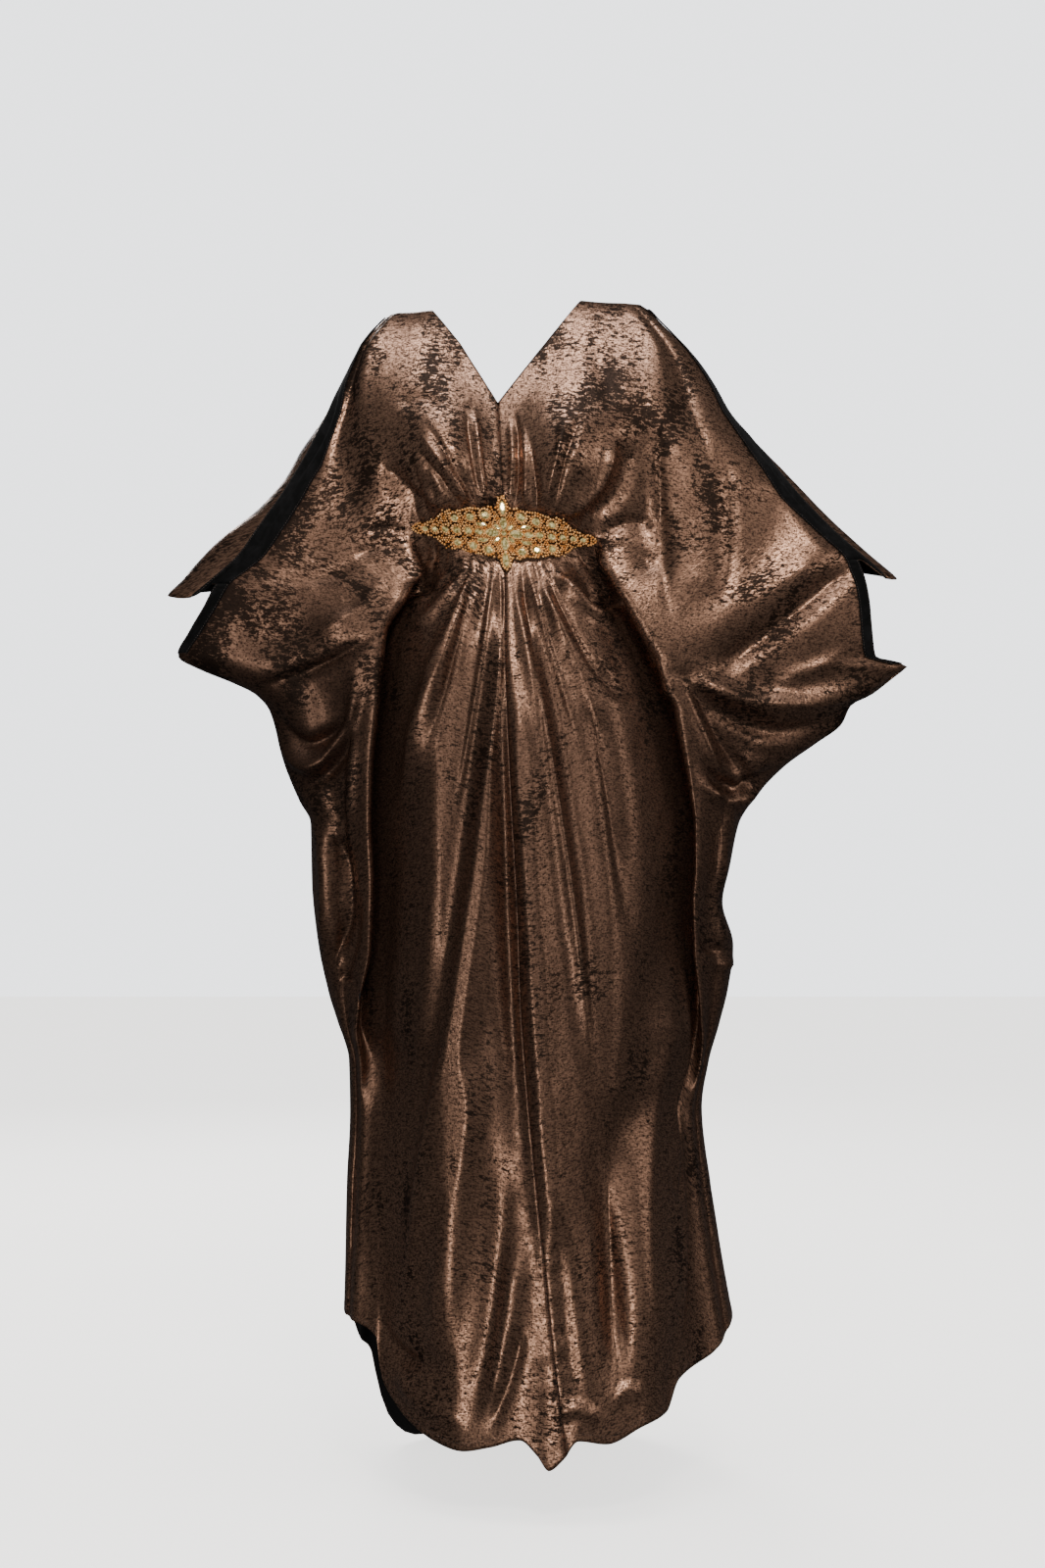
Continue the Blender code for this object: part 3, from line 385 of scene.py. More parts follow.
# Small creases, which only the dressed cloth has.
FRONT_CREASES = Fold.each(
    # Skirt.
    (1, 350, -9, 515, -32, 690, 4, 3.5, -0.4, 0.9),
    (-32, 690, -60, 905, -104, 1150, 6, 4, -0.4, 0.9),
    (-50, 345, -84, 394, -114, 410, 8, 9, 0.3, 0.7),
    (-126, 380, -104, 362, -78, 374, 10, -12, 0, 0.3),
    (92, 366, 120, 384, 150, 376, 9, -12, 0, 0.4),
    (14, 1130, 2, 1230, -18, 1345, 13, 8, 0.2, 0),
    (20, 1225, 8, 1280, -20, 1352, 9, -7, 0, 0.2),
    (60, 1090, 69, 1215, 92, 1335, 12, -7, 0, 0),
    (214, 790, 209, 1040, 204, 1290, 7, 5, 0.5, 0.6),
    (182, 1036, 195, 1096, 206, 1036, 6, -5, 0, 0.5),
    (-150, 1236, -106, 1284, -60, 1264, 9, -7, 0, 0.4),
    (-140, 1290, -90, 1326, -40, 1332, 14, 6, 0, 0.1),
    (60, 1330, 84, 1318, 110, 1338, 9, 5, 0, 0.3),
    (128, 1326, 142, 1300, 160, 1316, 8, 4, 0, 0.4),
    (-86, 700, -96, 860, -120, 1000, 9, 4, 0.3, 0.6),
    (-134, 640, -146, 820, -150, 1000, 12, -5, 0, 0.3),
    # Skirt, fanning out from the applique's foot.
    (-12, 340, -30, 470, -60, 640, 4, 4, 0.3, 0.9),
    (-40, 340, -66, 420, -104, 500, 4, 5, 0.3, 0.9),
    (-34, 340, -58, 440, -92, 560, 5, -6, 0, 0.6),
    (-64, 338, -92, 374, -124, 384, 5, 5, 0, 0.8),
    (20, 340, 34, 450, 54, 600, 4, -5, 0, 0.7),
    (28, 340, 56, 440, 96, 560, 4, 3.5, -0.3, 0.9),
    (50, 340, 84, 410, 130, 470, 4, 3.5, -0.3, 0.9),
    (52, 352, 92, 430, 140, 500, 6, -7, 0, 0.5),
    (-4, 344, -2, 420, 2, 520, 5, -5, 0, 0.6),
    # Bodice.
    (-30, 276, -58, 222, -96, 168, 4, -5, 0.2, 0.9),
    (-47, 276, -76, 236, -110, 196, 4, -5, 0, 0.9),
    (-38, 274, -66, 228, -104, 180, 4, 4.5, 0, 0.9),
    (-20, 272, -30, 205, -36, 150, 4, 5, 0.4, 0.9),
    (-27, 270, -38, 205, -46, 155, 4, -4.5, 0, 0.9),
    (-62, 278, -98, 250, -130, 226, 5, 4, 0, 0.8),
    (12, 272, 17, 210, 12, 150, 4, -5, 0.3, 0.9),
    (5, 270, 10, 210, 6, 160, 5, 3.5, 0, 0.6),
    (24, 272, 26, 220, 22, 170, 4, 4, 0, 0.8),
    (40, 272, 36, 230, 32, 190, 4, -4, 0, 0.8),
    (60, 272, 74, 210, 92, 160, 5, -5, 0, 0.8),
    (50, 272, 62, 215, 74, 160, 5, 4, 0, 0.7),
    (-112, 303, -140, 290, -172, 297, 5, -5, 0.3, 0.7),
    (-118, 322, -148, 312, -184, 330, 7, -6, 0, 0.6),
    (118, 300, 150, 284, 186, 290, 7, -7, 0, 0.6),
    (120, 322, 152, 318, 190, 344, 7, -6, 0, 0.6),
    (-70, 150, -104, 136, -128, 150, 12, -3, 0, 0.2),
    (96, 60, 120, 100, 126, 150, 14, -3, 0, 0.2),
    # Wing on the wearer's right.
    (-176, 330, -232, 352, -300, 344, 9, -4, 0.3, 0.6),
    (-150, 350, -176, 390, -232, 412, 8, 4, 0.3, 0.6),
    (-186, 500, -192, 620, -190, 720, 7, -4, 0, 0.5),
    (-170, 880, -182, 840, -206, 846, 7, -5, 0, 0.6),
    (-238, 640, -216, 664, -186, 650, 8, 4, 0, 0.5),
    # Wing on the wearer's left.
    (193, 165, 189, 256, 199, 420, 6, -5, 0.3, 0.7),
    (240, 466, 200, 464, 166, 420, 9, -9, 0, 0.6),
    (264, 492, 376, 514, 482, 452, 5, 5, 0.4, 0.9),
    (262, 520, 300, 560, 360, 560, 6, -4, 0, 0.7),
    (230, 560, 262, 650, 262, 740, 7, 5, 0, 0.7),
    (250, 560, 286, 640, 280, 720, 6, -4, 0, 0.7),
    (336, 250, 372, 300, 400, 330, 9, 4, 0, 0.5),
    (262, 190, 274, 300, 256, 390, 9, -4, 0, 0.5),
    (330, 470, 372, 462, 424, 430, 9, 4, 0, 0.5),
    (-138, 1288, -104, 1276, -66, 1258, 9, -6, 0, 0.1),
    (-124, 1312, -100, 1302, -74, 1292, 13, 5, 0, 0),
)
BACK_CREASES = Fold.each(
    (-34, 150, -40, 330, -30, 560, 7, 4, 0.3, 0.7),
    (38, 150, 48, 340, 52, 600, 7, -4, 0, 0.7),
    (-88, 130, -112, 300, -120, 480, 6, 4, 0, 0.8),
    (96, 130, 126, 320, 146, 520, 6, 4, 0, 0.8),
    (-140, 90, -196, 220, -262, 330, 7, -5, 0.2, 0.7),
    (146, 90, 230, 220, 330, 330, 7, -5, 0.2, 0.7),
    (-310, 452, -220, 510, -130, 470, 8, 6, 0.3, 0.7),
    (420, 470, 300, 548, 180, 490, 8, 6, 0.3, 0.7),
    (-150, 520, -152, 700, -146, 900, 8, 5, 0.3, 0.7),
    (210, 540, 214, 720, 200, 900, 8, 5, -0.3, 0.7),
    (-88, 900, -96, 1120, -108, 1400, 7, 5, 0.3, 0.8),
    (-20, 900, -22, 1120, -28, 1420, 8, -5, 0, 0.6),
    (50, 900, 58, 1120, 66, 1420, 7, 5, 0.3, 0.8),
    (126, 900, 140, 1120, 150, 1400, 7, -5, 0, 0.7),
    (210, 900, 222, 1080, 232, 1260, 7, 5, 0, 0.7),
)


# ---- Curves, noise and meshes ----


def through(keys: Array, values: Array, at: Array, level_ends: bool = False) -> Array:
    """A smooth curve through the values at the keys, which never swings past them.

    Each span is a cubic whose end slopes are the harmonic mean of the slopes on both sides.

    Args:
        keys: Rising positions.
        values: What lies there, one row a key.
        at: Positions to read.
        level_ends: Whether the curve starts and ends level.

    Returns:
        The values read.
    """
    keys, values, at = (np.asarray(a, float) for a in (keys, values, at))
    step = np.diff(keys).reshape(-1, *[1] * (values.ndim - 1))
    rise = np.diff(values, axis=0) / step
    slope = np.zeros_like(values)
    before, after = rise[:-1], rise[1:]
    same_way = before * after > 0
    mean = 2 * before * after / np.where(same_way, before + after, 1)
    slope[1:-1] = np.where(same_way, mean, 0)
    if not level_ends:
        slope[0], slope[-1] = rise[0], rise[-1]
    i = np.clip(np.searchsorted(keys, at) - 1, 0, len(keys) - 2)
    t = (np.clip(at, keys[0], keys[-1]) - keys[i]) / (keys[i + 1] - keys[i])
    t = t.reshape(-1, *[1] * (values.ndim - 1))
    step = step[i]
    return (
        (1 + 2 * t) * (1 - t) ** 2 * values[i]
        + t * (1 - t) ** 2 * step * slope[i]
        + t**2 * (3 - 2 * t) * values[i + 1]
        - t**2 * (1 - t) * step * slope[i + 1]
    )


def ease(t: Array) -> Array:
    """Rises smoothly from 0 to 1 as t goes from 0 to 1: three t squared less two t cubed."""
    t = np.clip(t, 0, 1)
    return t * t * (3 - 2 * t)


def read_rows(place: Array, keys: Array, values: Array) -> Array:
    """Reads each row's own curve in one call, with the rows set end to end.

    Args:
        place: Positions to read, rows by columns.
        keys: Rising positions of each row's curve.
        values: The curve's values.

    Returns:
        The values read, in place's shape.
    """
    shift = np.arange(len(keys))[:, None] * (keys.max() + 1.0)
    flat = np.interp((place + shift).ravel(), (keys + shift).ravel(), values.ravel())
    return flat.reshape(place.shape)


def running_length(points: Array, axis: int, parts: tuple[int, ...]) -> Array:
    """Length run so far along one axis of a grid, from some of the coordinates.

    Args:
        points: A grid of points.
        axis: 0 to run down the rows, 1 to run along them.
        parts: The coordinates that count.

    Returns:
        The length at each point, 0 at the first.
    """
    step = np.linalg.norm(np.diff(points[..., parts], axis=axis), axis=-1)
    pad = [(0, 0), (0, 0)]
    pad[axis] = (1, 0)
    return np.cumsum(np.pad(step, pad), axis=axis)


def lengths_along(path: Array) -> Array:
    """Length run so far at each point of a path."""
    return np.concatenate([[0], np.cumsum(np.linalg.norm(np.diff(path, axis=0), axis=1))])


def read_path(values: Array, along: Array, at: Array) -> Array:
    """Reads values, one row for each point of a path, at lengths along it."""
    return np.stack([np.interp(at, along, column) for column in values.T], axis=-1)


def smooth_noise(u: Array, v: Array, size_u: float, size_v: float, seed: int) -> Array:
    """Noise from -1 to 1: seeded random heights on a lattice, joined by ease in both directions.

    Args:
        u: First coordinate.
        v: Second coordinate.
        size_u: The lattice's cell along u.
        size_v: The lattice's cell along v.
        seed: Which lattice.

    Returns:
        The noise, in u's shape.
    """
    count = 128
    lattice = np.random.default_rng(seed).uniform(-1, 1, (count, count))
    # It is turned by 20 degrees, so that none of its rows runs along the cloth.
    cosine, sine = 0.94, 0.34
    turned_u = (cosine * u + sine * v) / size_u + count
    turned_v = (cosine * v - sine * u) / size_v + count
    i, j = np.floor(turned_u).astype(int), np.floor(turned_v).astype(int)
    across, down = ease(turned_u - i), ease(turned_v - j)
    near, far = i % count, (i + 1) % count
    top, foot = j % count, (j + 1) % count
    upper = lattice[near, top] * (1 - across) + lattice[far, top] * across
    lower = lattice[near, foot] * (1 - across) + lattice[far, foot] * across
    return upper * (1 - down) + lower * down


# A fold's line is cut into so many chords, and its lift is worked out as far as so many widths.
# A full lean makes one flank narrower by this share. A crease's top is rounded over one share of
# its width and falls off by the other. A fold fades over a share of its length at both ends.
CHORDS, FOLD_REACH, LEANING = 20, 4.5, 0.5
CREST, CREST_FALL, TIP_FADE = 0.2, 1.7, 0.3


def fold_lift(x: Array, z: Array, folds: tuple[Fold, ...]) -> Array:
    """How far folds lift each point.

    A fold's line is a quadratic curve cut into chords. Away from it the lift falls off as e to
    the minus (distance / width) squared where it is soft, and to the minus distance / width,
    rounded at the top, where it is sharp. It fades at both ends.

    Args:
        x: The points' X.
        z: The points' Z.
        folds: The folds.

    Returns:
        The sum of their lifts, in x's shape.
    """
    place = np.stack([x.ravel(), z.ravel()], axis=-1)
    total = np.zeros(len(place))
    t = np.linspace(0, 1, CHORDS + 1)[:, None]
    for fold in folds:
        start = np.array([fold.x0, -fold.drop0], float)
        mid = np.array([fold.x1, -fold.drop1], float)
        end = np.array([fold.x2, -fold.drop2], float)
        bend = 2 * mid - (start + end) / 2
        line = (1 - t) ** 2 * start + 2 * t * (1 - t) * bend + t**2 * end
        far = fold.width * FOLD_REACH
        inside = (place > line.min(axis=0) - far) & (place < line.max(axis=0) + far)
        near = np.nonzero(inside.all(axis=1))[0]
        step = np.diff(line, axis=0)
        away = place[near, None, :] - line[None, :-1]
        share = np.clip((away * step).sum(axis=-1) / (step**2).sum(axis=-1), 0, 1)
        rest = away - share[..., None] * step
        distance = np.linalg.norm(rest, axis=-1)
        nearest = distance.argmin(axis=1)
        pick = np.arange(len(near)), nearest
        along = (nearest + share[pick]) / len(step)
        flank = step[nearest, 0] * rest[pick][:, 1] - step[nearest, 1] * rest[pick][:, 0]
        width = fold.width * (1 + LEANING * fold.lean * np.sign(flank))
        d = distance[pick] / width
        soft = np.exp(-(d**2))
        crisp = np.exp(-(np.hypot(d, CREST) - CREST) * CREST_FALL)
        taper = ease(np.minimum(along, 1 - along) / TIP_FADE + 0.1)
        total[near] += fold.height * taper * (soft + fold.sharp * (crisp - soft))
    return total.reshape(x.shape)


def grid_quads(
    points: Array, kept: Array | None = None, first: int = 0, flip: bool = False
) -> Array:
    """Corners of a grid's cells.

    Args:
        points: The grid, rows by columns.
        kept: Which cells there are, where not all of them.
        first: The number of the grid's first point.
        flip: Whether the faces look the other way.

    Returns:
        Four point numbers a face.
    """
    rows, columns = points.shape[:2]
    row, col = np.nonzero(np.ones((rows - 1, columns - 1)) if kept is None else kept)
    a = first + row * columns + col
    quads = np.stack([a, a + 1, a + columns + 1, a + columns], axis=1)
    return quads[:, ::-1] if flip else quads


def unit(vectors: Array) -> Array:
    """The vectors at length 1."""
    return vectors / np.maximum(np.linalg.norm(vectors, axis=-1, keepdims=True), 1e-9)


def add_mesh(
    name: str,
    points: Array,
    faces: Array,
    materials: tuple[Material, ...],
    slot: str,
    uv: Array | None = None,
    smooth: bool = True,
) -> Piece:
    """Makes a piece that rides with the garment.

    Args:
        name: The piece's name.
        points: Its points, in millimetres.
        faces: Point numbers, one row a face.
        materials: Its finishes.
        slot: The record's material slot that it belongs to. Not used.
        uv: Each point's place on the cloth, in millimetres, if it needs one.
        smooth: Whether it is shaded smooth.

    Returns:
        The piece.
    """
    used = np.unique(faces)
    place = np.zeros(len(points), int)
    place[used] = np.arange(len(used))
    faces = place[faces]
    mesh = bpy.data.meshes.new(name)
    mesh.from_pydata((points[used] * MM).tolist(), [], faces.tolist())
    if uv is not None:
        layer = mesh.uv_layers.new(name=UV_NAME)
        layer.data.foreach_set("uv", (uv[used][faces.ravel()] * MM).ravel())
    for material in materials:
        mesh.materials.append(material)
    mesh.polygons.foreach_set("use_smooth", np.full(len(faces), smooth))
    mesh.update()
    piece = bpy.data.objects.new(name, mesh)
    bpy.context.scene.collection.objects.link(piece)
    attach(piece, "root")
    LOG.info("%s: %d points, %d faces", name, len(used), len(faces))
    return piece


def thicken(piece: Piece, wall: float, lined: bool = False) -> None:
    """Gives a sheet its wall, half on each side.

    Args:
        piece: The sheet.
        wall: The wall's thickness in millimetres.
        lined: Whether its second finish covers the wrong side.
    """
    solid = piece.modifiers.new("wall", "SOLIDIFY")
    solid.thickness = wall * MM
    solid.offset = 0.0
    solid.use_rim = True
    solid.material_offset = 1 if lined else 0


def stamp(points: Array, faces: Array, places: Array, sizes: Array) -> tuple[Array, Array]:
    """Copies a small shape to many places.

    Args:
        points: The shape's points.
        faces: Its faces.
        places: The copies' middles.
        sizes: Their sizes.

    Returns:
        All points and all faces.
    """
    all_points = points[None] * sizes[:, None, None] + places[:, None]
    shift = np.arange(len(places))[:, None, None] * len(points)
    return all_points.reshape(-1, 3), (faces[None] + shift).reshape(-1, faces.shape[1])


# ---- Finishes ----

Socket = bpy.types.NodeSocket
Adder = Callable[..., Socket]
# A Mix node's sockets for colours, and how one is set and read.
FACTOR, FIRST, SECOND = 0, 6, 7
OF_COLOURS = {"read": 2, "data_type": "RGBA"}
# Coordinates come in metres, and patterns are sized in millimetres.
TO_MM = (1000, 1000, 1000)


def linear(colour: str) -> tuple[float, float, float, float]:
    """Turns an sRGB hex colour to linear red, green, blue and alpha."""
    srgb = np.array([int(colour[i : i + 2], 16) for i in (1, 3, 5)]) / 255
    value = np.where(srgb <= 0.04045, srgb / 12.92, ((srgb + 0.055) / 1.055) ** 2.4)
    return (*(float(v) for v in value), 1.0)


def fill(node: bpy.types.Node, sockets: dict | tuple) -> None:
    """Gives a node's sockets their values and links.

    Args:
        node: The node.
        sockets: Values, or outputs to link, by the sockets' names or numbers, or in their order.
    """
    pairs = sockets.items() if isinstance(sockets, dict) else enumerate(sockets)
    for socket, value in pairs:
        if isinstance(value, Socket):
            node.id_data.links.new(value, node.inputs[socket])
        else:
            node.inputs[socket].default_value = value


def add_node(
    tree: bpy.types.NodeTree,
    kind: str,
    sockets: dict | tuple = (),
    read: int | str = 0,
    **settings: object,
) -> Socket:
    """Adds a node with its settings, its sockets' values and its links.

    Args:
        tree: The node tree.
        kind: The node's type, without the leading ShaderNode.
        sockets: Values, or outputs to link, by the sockets' names or numbers, or in their order.
        read: The output that is read.
        settings: The node's own properties.

    Returns:
        That output.
    """
    node = tree.nodes.new("ShaderNode" + kind)
    for name, value in settings.items():
        setattr(node, name, value)
    fill(node, sockets)
    return node.outputs[read]


@dataclass(frozen=True)
class Noise:
    """Noise: its grain in millimetres, its finer layers, their strength and its twist."""

    size_mm: float
    detail: float = 2.0
    rough: float = 0.5
    twist: float = 0.0

    def over(self, place: Socket) -> dict[str, object]:
        """The noise's sockets over coordinates in millimetres."""
        sockets = {"Vector": place, "Scale": 1 / self.size_mm, "Detail": self.detail}
        return sockets | {"Roughness": self.rough, "Distortion": self.twist}


class Finish(ABC):
    """A finish, whose nodes give the Principled shader's sockets what they need."""

    name: str

    @abstractmethod
    def sockets(self, add: Adder) -> dict[str, object]:
        """The shader's sockets, each with a value or an output of the nodes that it adds."""

    def build(self) -> Material:
        """Makes the material."""
        material = bpy.data.materials.new(self.name)
        material.use_nodes = True
        tree = material.node_tree
        fill(tree.nodes["Principled BSDF"], self.sockets(partial(add_node, tree)))
        return material


@dataclass(frozen=True)
class FoilCloth(Finish):
    """Dark woven cloth with a crushed foil print, worn off in clustered ragged strokes and dots.

    The foil gives a satin bronze shine where it faces the light and goes dark brown where it
    turns away. Its tone wavers in fine strokes, and painted shade makes it deeper on the skirt and
    on the wearer's right wing, which also gets more dull patches as painted shade. Worn patches
    stay dull, so they show in the shine alone. The real threads are about 0.3 mm apart, too fine
    to show, so they are drawn 1.2 mm apart.
    """

    name: str = "bronze_foil_cloth"
    foil_light: str = "#c4987e"
    foil_deep: str = "#523e34"
    ground: str = "#271b14"
    speck: str = "#180f0b"
    clump: Noise = Noise(54.0, 3, 0.55)
    streak: Noise = Noise(4.6, 3, 0.66, 0.5)
    grain: Noise = Noise(1.7, 2, 0.6)
    crumple: Noise = Noise(16.0, 4, 0.62, 0.6)
    thread: Noise = Noise(1.2, 1)
    speck_mm: float = 6.5
    # How many times as long as wide the strokes, the grains and the threads are.
    streak_length: float = 2.2
    grain_length: float = 2.4
    thread_length: float = 1 / 0.06
    # How much clumps, strokes and grains count in the sum that wears the foil off, the two
    # sums between which it goes, and how bare the cloth gets.
    weights: tuple[float, float, float] = (1.5, 1.4, 0.4)
    wears_from: float = 1.88
    worn_at: float = 2.1
    barest: float = 0.95
    # The share worn is greatest at the shoulders and evens out this far down the cloth.
    even_from: float = 0.62

    def sockets(self, add: Adder) -> dict[str, object]:
        """The foil is worn off where broad clumps, short strokes and fine grain pass a sum.

        A Map Range node takes a value, the range that it comes from and the one it goes to. In
        these, a height is in metres down the cloth, and a side in metres from its middle.

        Args:
            add: Adds a node to the material.

        Returns:
            The shader's sockets.
        """
        cloth = add("UVMap", uv_map=UV_NAME)
        streak, grain = self.streak_length, self.grain_length
        flat, long, wide, across, down = (
            add("Mapping", {"Vector": cloth, "Scale": (1000 / u, 1000 / v, 1000)})
            for u, v in ((1, 1), (1, streak), (streak, 1), (grain, 1), (1, grain))
        )
        noises = (self.clump, long), (self.streak, wide), (self.grain, across), (self.grain, down)
        clump, streak, weft, warp = (
            add("TexNoise", noise.over(place), noise_dimensions="2D") for noise, place in noises
        )
        grain = add("Math", (weft, 1.3), operation="MULTIPLY")
        grain = add("Math", (warp, 0.7, grain), operation="MULTIPLY_ADD")
        side = add("SeparateXYZ", (cloth,))
        height = side.node.outputs[1]

        # The sum starts higher at the shoulders, and higher on the wearer's right wing above the
        # skirt, where the extra dull patches are painted shade that darkens the wing.
        at_shoulders = add("MapRange", (height, 0, self.even_from, 0.14, -0.12))
        on_wing = add("MapRange", (side, -0.34, -0.12, 0.4, 0))
        above_skirt = add("MapRange", (height, 0.52, 0.72, 1, 0))
        # Painted shade on the wearer's right wing, fading out towards the skirt.
        wing_painted_shade = add("Math", (on_wing, above_skirt), operation="MULTIPLY")
        total = add("Math", (wing_painted_shade, 0.4, at_shoulders), operation="MULTIPLY_ADD")
        for noise, weight in zip((clump, streak, grain), self.weights):
            total = add("Math", (noise, weight, total), operation="MULTIPLY_ADD")
        worn = add("MapRange", (total, self.wears_from, self.worn_at, 0, self.barest))

        # The foil's tone wavers. Painted shade makes it deeper on the skirt, though less so at its
        # foot, and on the wearer's right wing.
        skirt_painted_shade = add("MapRange", (height, 0.25, 0.6, 0, 0.6))
        painted_shade_floor = add("Math", (skirt_painted_shade, wing_painted_shade), operation="ADD")
        foot_shade_relief = add("MapRange", (height, 0.95, 1.3, 0, 0.4))
        painted_shade_floor = add("Math", (painted_shade_floor, foot_shade_relief), operation="SUBTRACT")
        tone = add("Math", (grain, 1.1, streak), operation="MULTIPLY_ADD")
        deep = add("MapRange", (tone, 1.32, 1.9, painted_shade_floor))

        cell = {"Vector": flat, "Scale": 1 / self.speck_mm}
        speck = add("TexVoronoi", cell, "Distance", voronoi_dimensions="2D")
        speck = add("MapRange", (speck, 0.17, 0.09, 0, 0.8))
        base = linear(self.foil_light)
        for share, colour in (deep, self.foil_deep), (worn, self.ground), (speck, self.speck):
            base = add("Mix", {FACTOR: share, FIRST: base, SECOND: linear(colour)}, **OF_COLOURS)
        dull = add("Math", (worn, speck), operation="MAXIMUM")
        rough = add("Math", (dull, 0.2, 0.31), operation="MULTIPLY_ADD")
        return {
            "Base Color": base,
            "Metallic": add("MapRange", (dull, 0, 1, 0.92, 0.8)),
            "Roughness": add("Math", (deep, 0.1, rough), operation="MULTIPLY_ADD"),
            "Normal": self.relief(add, flat, long, grain),
        }

    def relief(self, add: Adder, flat: Socket, long: Socket, grain: Socket) -> Socket:
        """Adds crumples, crossing threads and the foil's broken grain as bumps.

        Args:
            add: Adds a node to the material.
            flat: Cloth coordinates in millimetres.
            long: The same, drawn out down the cloth.
            grain: The foil's fine grain.

        Returns:
            The normal.
        """
        crumple = add("TexNoise", self.crumple.over(long), noise_dimensions="2D")
        layers = [(0.42, 0.001, crumple)]
        drawn = 1 / self.thread_length
        for scale in ((1, drawn, 1), (drawn, 1, 1)):
            run = add("Mapping", {"Vector": flat, "Scale": scale})
            thread = add("TexNoise", self.thread.over(run), noise_dimensions="2D")
            layers.append((0.12, 0.0002, thread))
        layers.append((0.25, 0.0004, grain))
        bump = {}
        for strength, distance, height in layers:
            bump |= {"Strength": strength, "Distance": distance, "Height": height}
            bump["Normal"] = add("Bump", bump)
        return bump["Normal"]


@dataclass(frozen=True)
class WrongSide(Finish):
    """The cloth's unprinted back: dull near-black weave, its threads drawn 1.3 mm apart."""

    name: str = "unprinted_black_weave"
    light: str = "#120f0e"
    dark: str = "#080707"
    thread: Noise = Noise(1.3, 3, 0.6)

    def sockets(self, add: Adder) -> dict[str, object]:
        """The threads' heights also mix the two tones."""
        cloth = add("UVMap", uv_map=UV_NAME)
        flat = add("Mapping", {"Vector": cloth, "Scale": (1000, 400, 1000)})
        thread = add("TexNoise", self.thread.over(flat), noise_dimensions="2D")
        tones = {FACTOR: thread, FIRST: linear(self.dark), SECOND: linear(self.light)}
        return {
            "Base Color": add("Mix", tones, **OF_COLOURS),
            "Normal": add("Bump", {"Strength": 0.3, "Distance": 0.0004, "Height": thread}),
            "Roughness": 0.82,
        }


@dataclass(frozen=True)
class Velvet(Finish):
    """Black velvet ribbon: a deep matt pile, brushed in patches, greyer where it turns away."""

    name: str = "black_velvet"
    pile: str = "#030303"
    brushed: str = "#0e0d0e"
    patch: Noise = Noise(16.0, 5, 0.65, 0.4)
    tuft: Noise = Noise(1.1, 2, 0.6)

    def sockets(self, add: Adder) -> dict[str, object]:
        """Broad patches mix the two tones, and tufts make the pile."""
        cloth = add("UVMap", uv_map=UV_NAME)
        flat = add("Mapping", {"Vector": cloth, "Scale": TO_MM})
        patch, tuft = (
            add("TexNoise", noise.over(flat), noise_dimensions="2D")
            for noise in (self.patch, self.tuft)
        )
        brushed = add("MapRange", (patch, 0.42, 0.72))
        tones = {FACTOR: brushed, FIRST: linear(self.pile), SECOND: linear(self.brushed)}
        return {
            "Base Color": add("Mix", tones, **OF_COLOURS),
            "Normal": add("Bump", {"Strength": 0.5, "Distance": 0.0006, "Height": tuft}),
            "Roughness": 0.95,
            "Sheen Weight": 0.03,
            "Sheen Roughness": 0.4,
            "Specular IOR Level": 0.2,
        }


@dataclass(frozen=True)
class BeadedGround(Finish):
    """The applique's backing: stiffened cloth under rows of tiny gold seeds, 1.8 mm apart."""

    name: str = "seed_beaded_ground"
    seed: str = "#7e5226"
    # The gap tone is partly the backing's colour and partly painted shade between the seeds.
    gap: str = "#2e1c0e"
    seed_mm: float = 1.8

    def sockets(self, add: Adder) -> dict[str, object]:
        """Each cell is a seed, raised and pale in its middle. Its tone darkens out into the gap
        tone, partly the backing's own colour and partly painted shade on the seed's sides and
        between the seeds.
        """
        flat = add("Mapping", {"Vector": add("TexCoord", read="Object"), "Scale": TO_MM})
        cell = add("TexVoronoi", {"Vector": flat, "Scale": 1 / self.seed_mm}, "Distance")
        seed = add("MapRange", (cell, 0.55, 0.2))
        tones = {FACTOR: seed, FIRST: linear(self.gap), SECOND: linear(self.seed)}
        return {
            "Base Color": add("Mix", tones, **OF_COLOURS),
            "Normal": add("Bump", {"Strength": 0.7, "Distance": 0.0006, "Height": seed}),
            "Metallic": 0.7,
            "Roughness": 0.35,
        }


@dataclass(frozen=True)
class Toned(Finish):
    """A finish that wavers between a deep and a light tone, by noise of a real size.

    One tone goes over into the other between two values of the noise, the spread. The polish is
    how rough the deep and the light tone are, where they differ.
    """

    name: str
    light: str
    deep: str
    tone: Noise
    spread: tuple[float, float] = (0.0, 1.0)
    polish: tuple[float, float] | None = None

    def sockets(self, add: Adder) -> dict[str, object]:
        """The two tones mixed, and the polish where it wavers."""
        flat = add("Mapping", {"Vector": add("TexCoord", read="Object"), "Scale": TO_MM})
        tone = add("TexNoise", self.tone.over(flat))
        share = add("MapRange", (tone, *self.spread))
        tones = {FACTOR: share, FIRST: linear(self.deep), SECOND: linear(self.light)}
        made = {"Base Color": add("Mix", tones, **OF_COLOURS)}
        if self.polish:
            made["Roughness"] = add("MapRange", (tone, 0, 1, *self.polish))
        return made | self.plain()

    def plain(self) -> dict[str, object]:
        """The sockets that are the same all over."""
        return {}


@dataclass(frozen=True)
class GoldBead(Toned):
    """Gold-plated seed beads and stone cups: polished warm metal, a little uneven in tone."""

    name: str = "gold_plated_beads"
    light: str = "#ffca88"
    deep: str = "#da8f45"
    tone: Noise = Noise(5.0, 2)
    spread: tuple[float, float] = (0.35, 0.65)
    polish: tuple[float, float] = (0.36, 0.2)

    def plain(self) -> dict[str, object]:
        """Half metal, as the plating is thin."""
        return {"Metallic": 0.5}


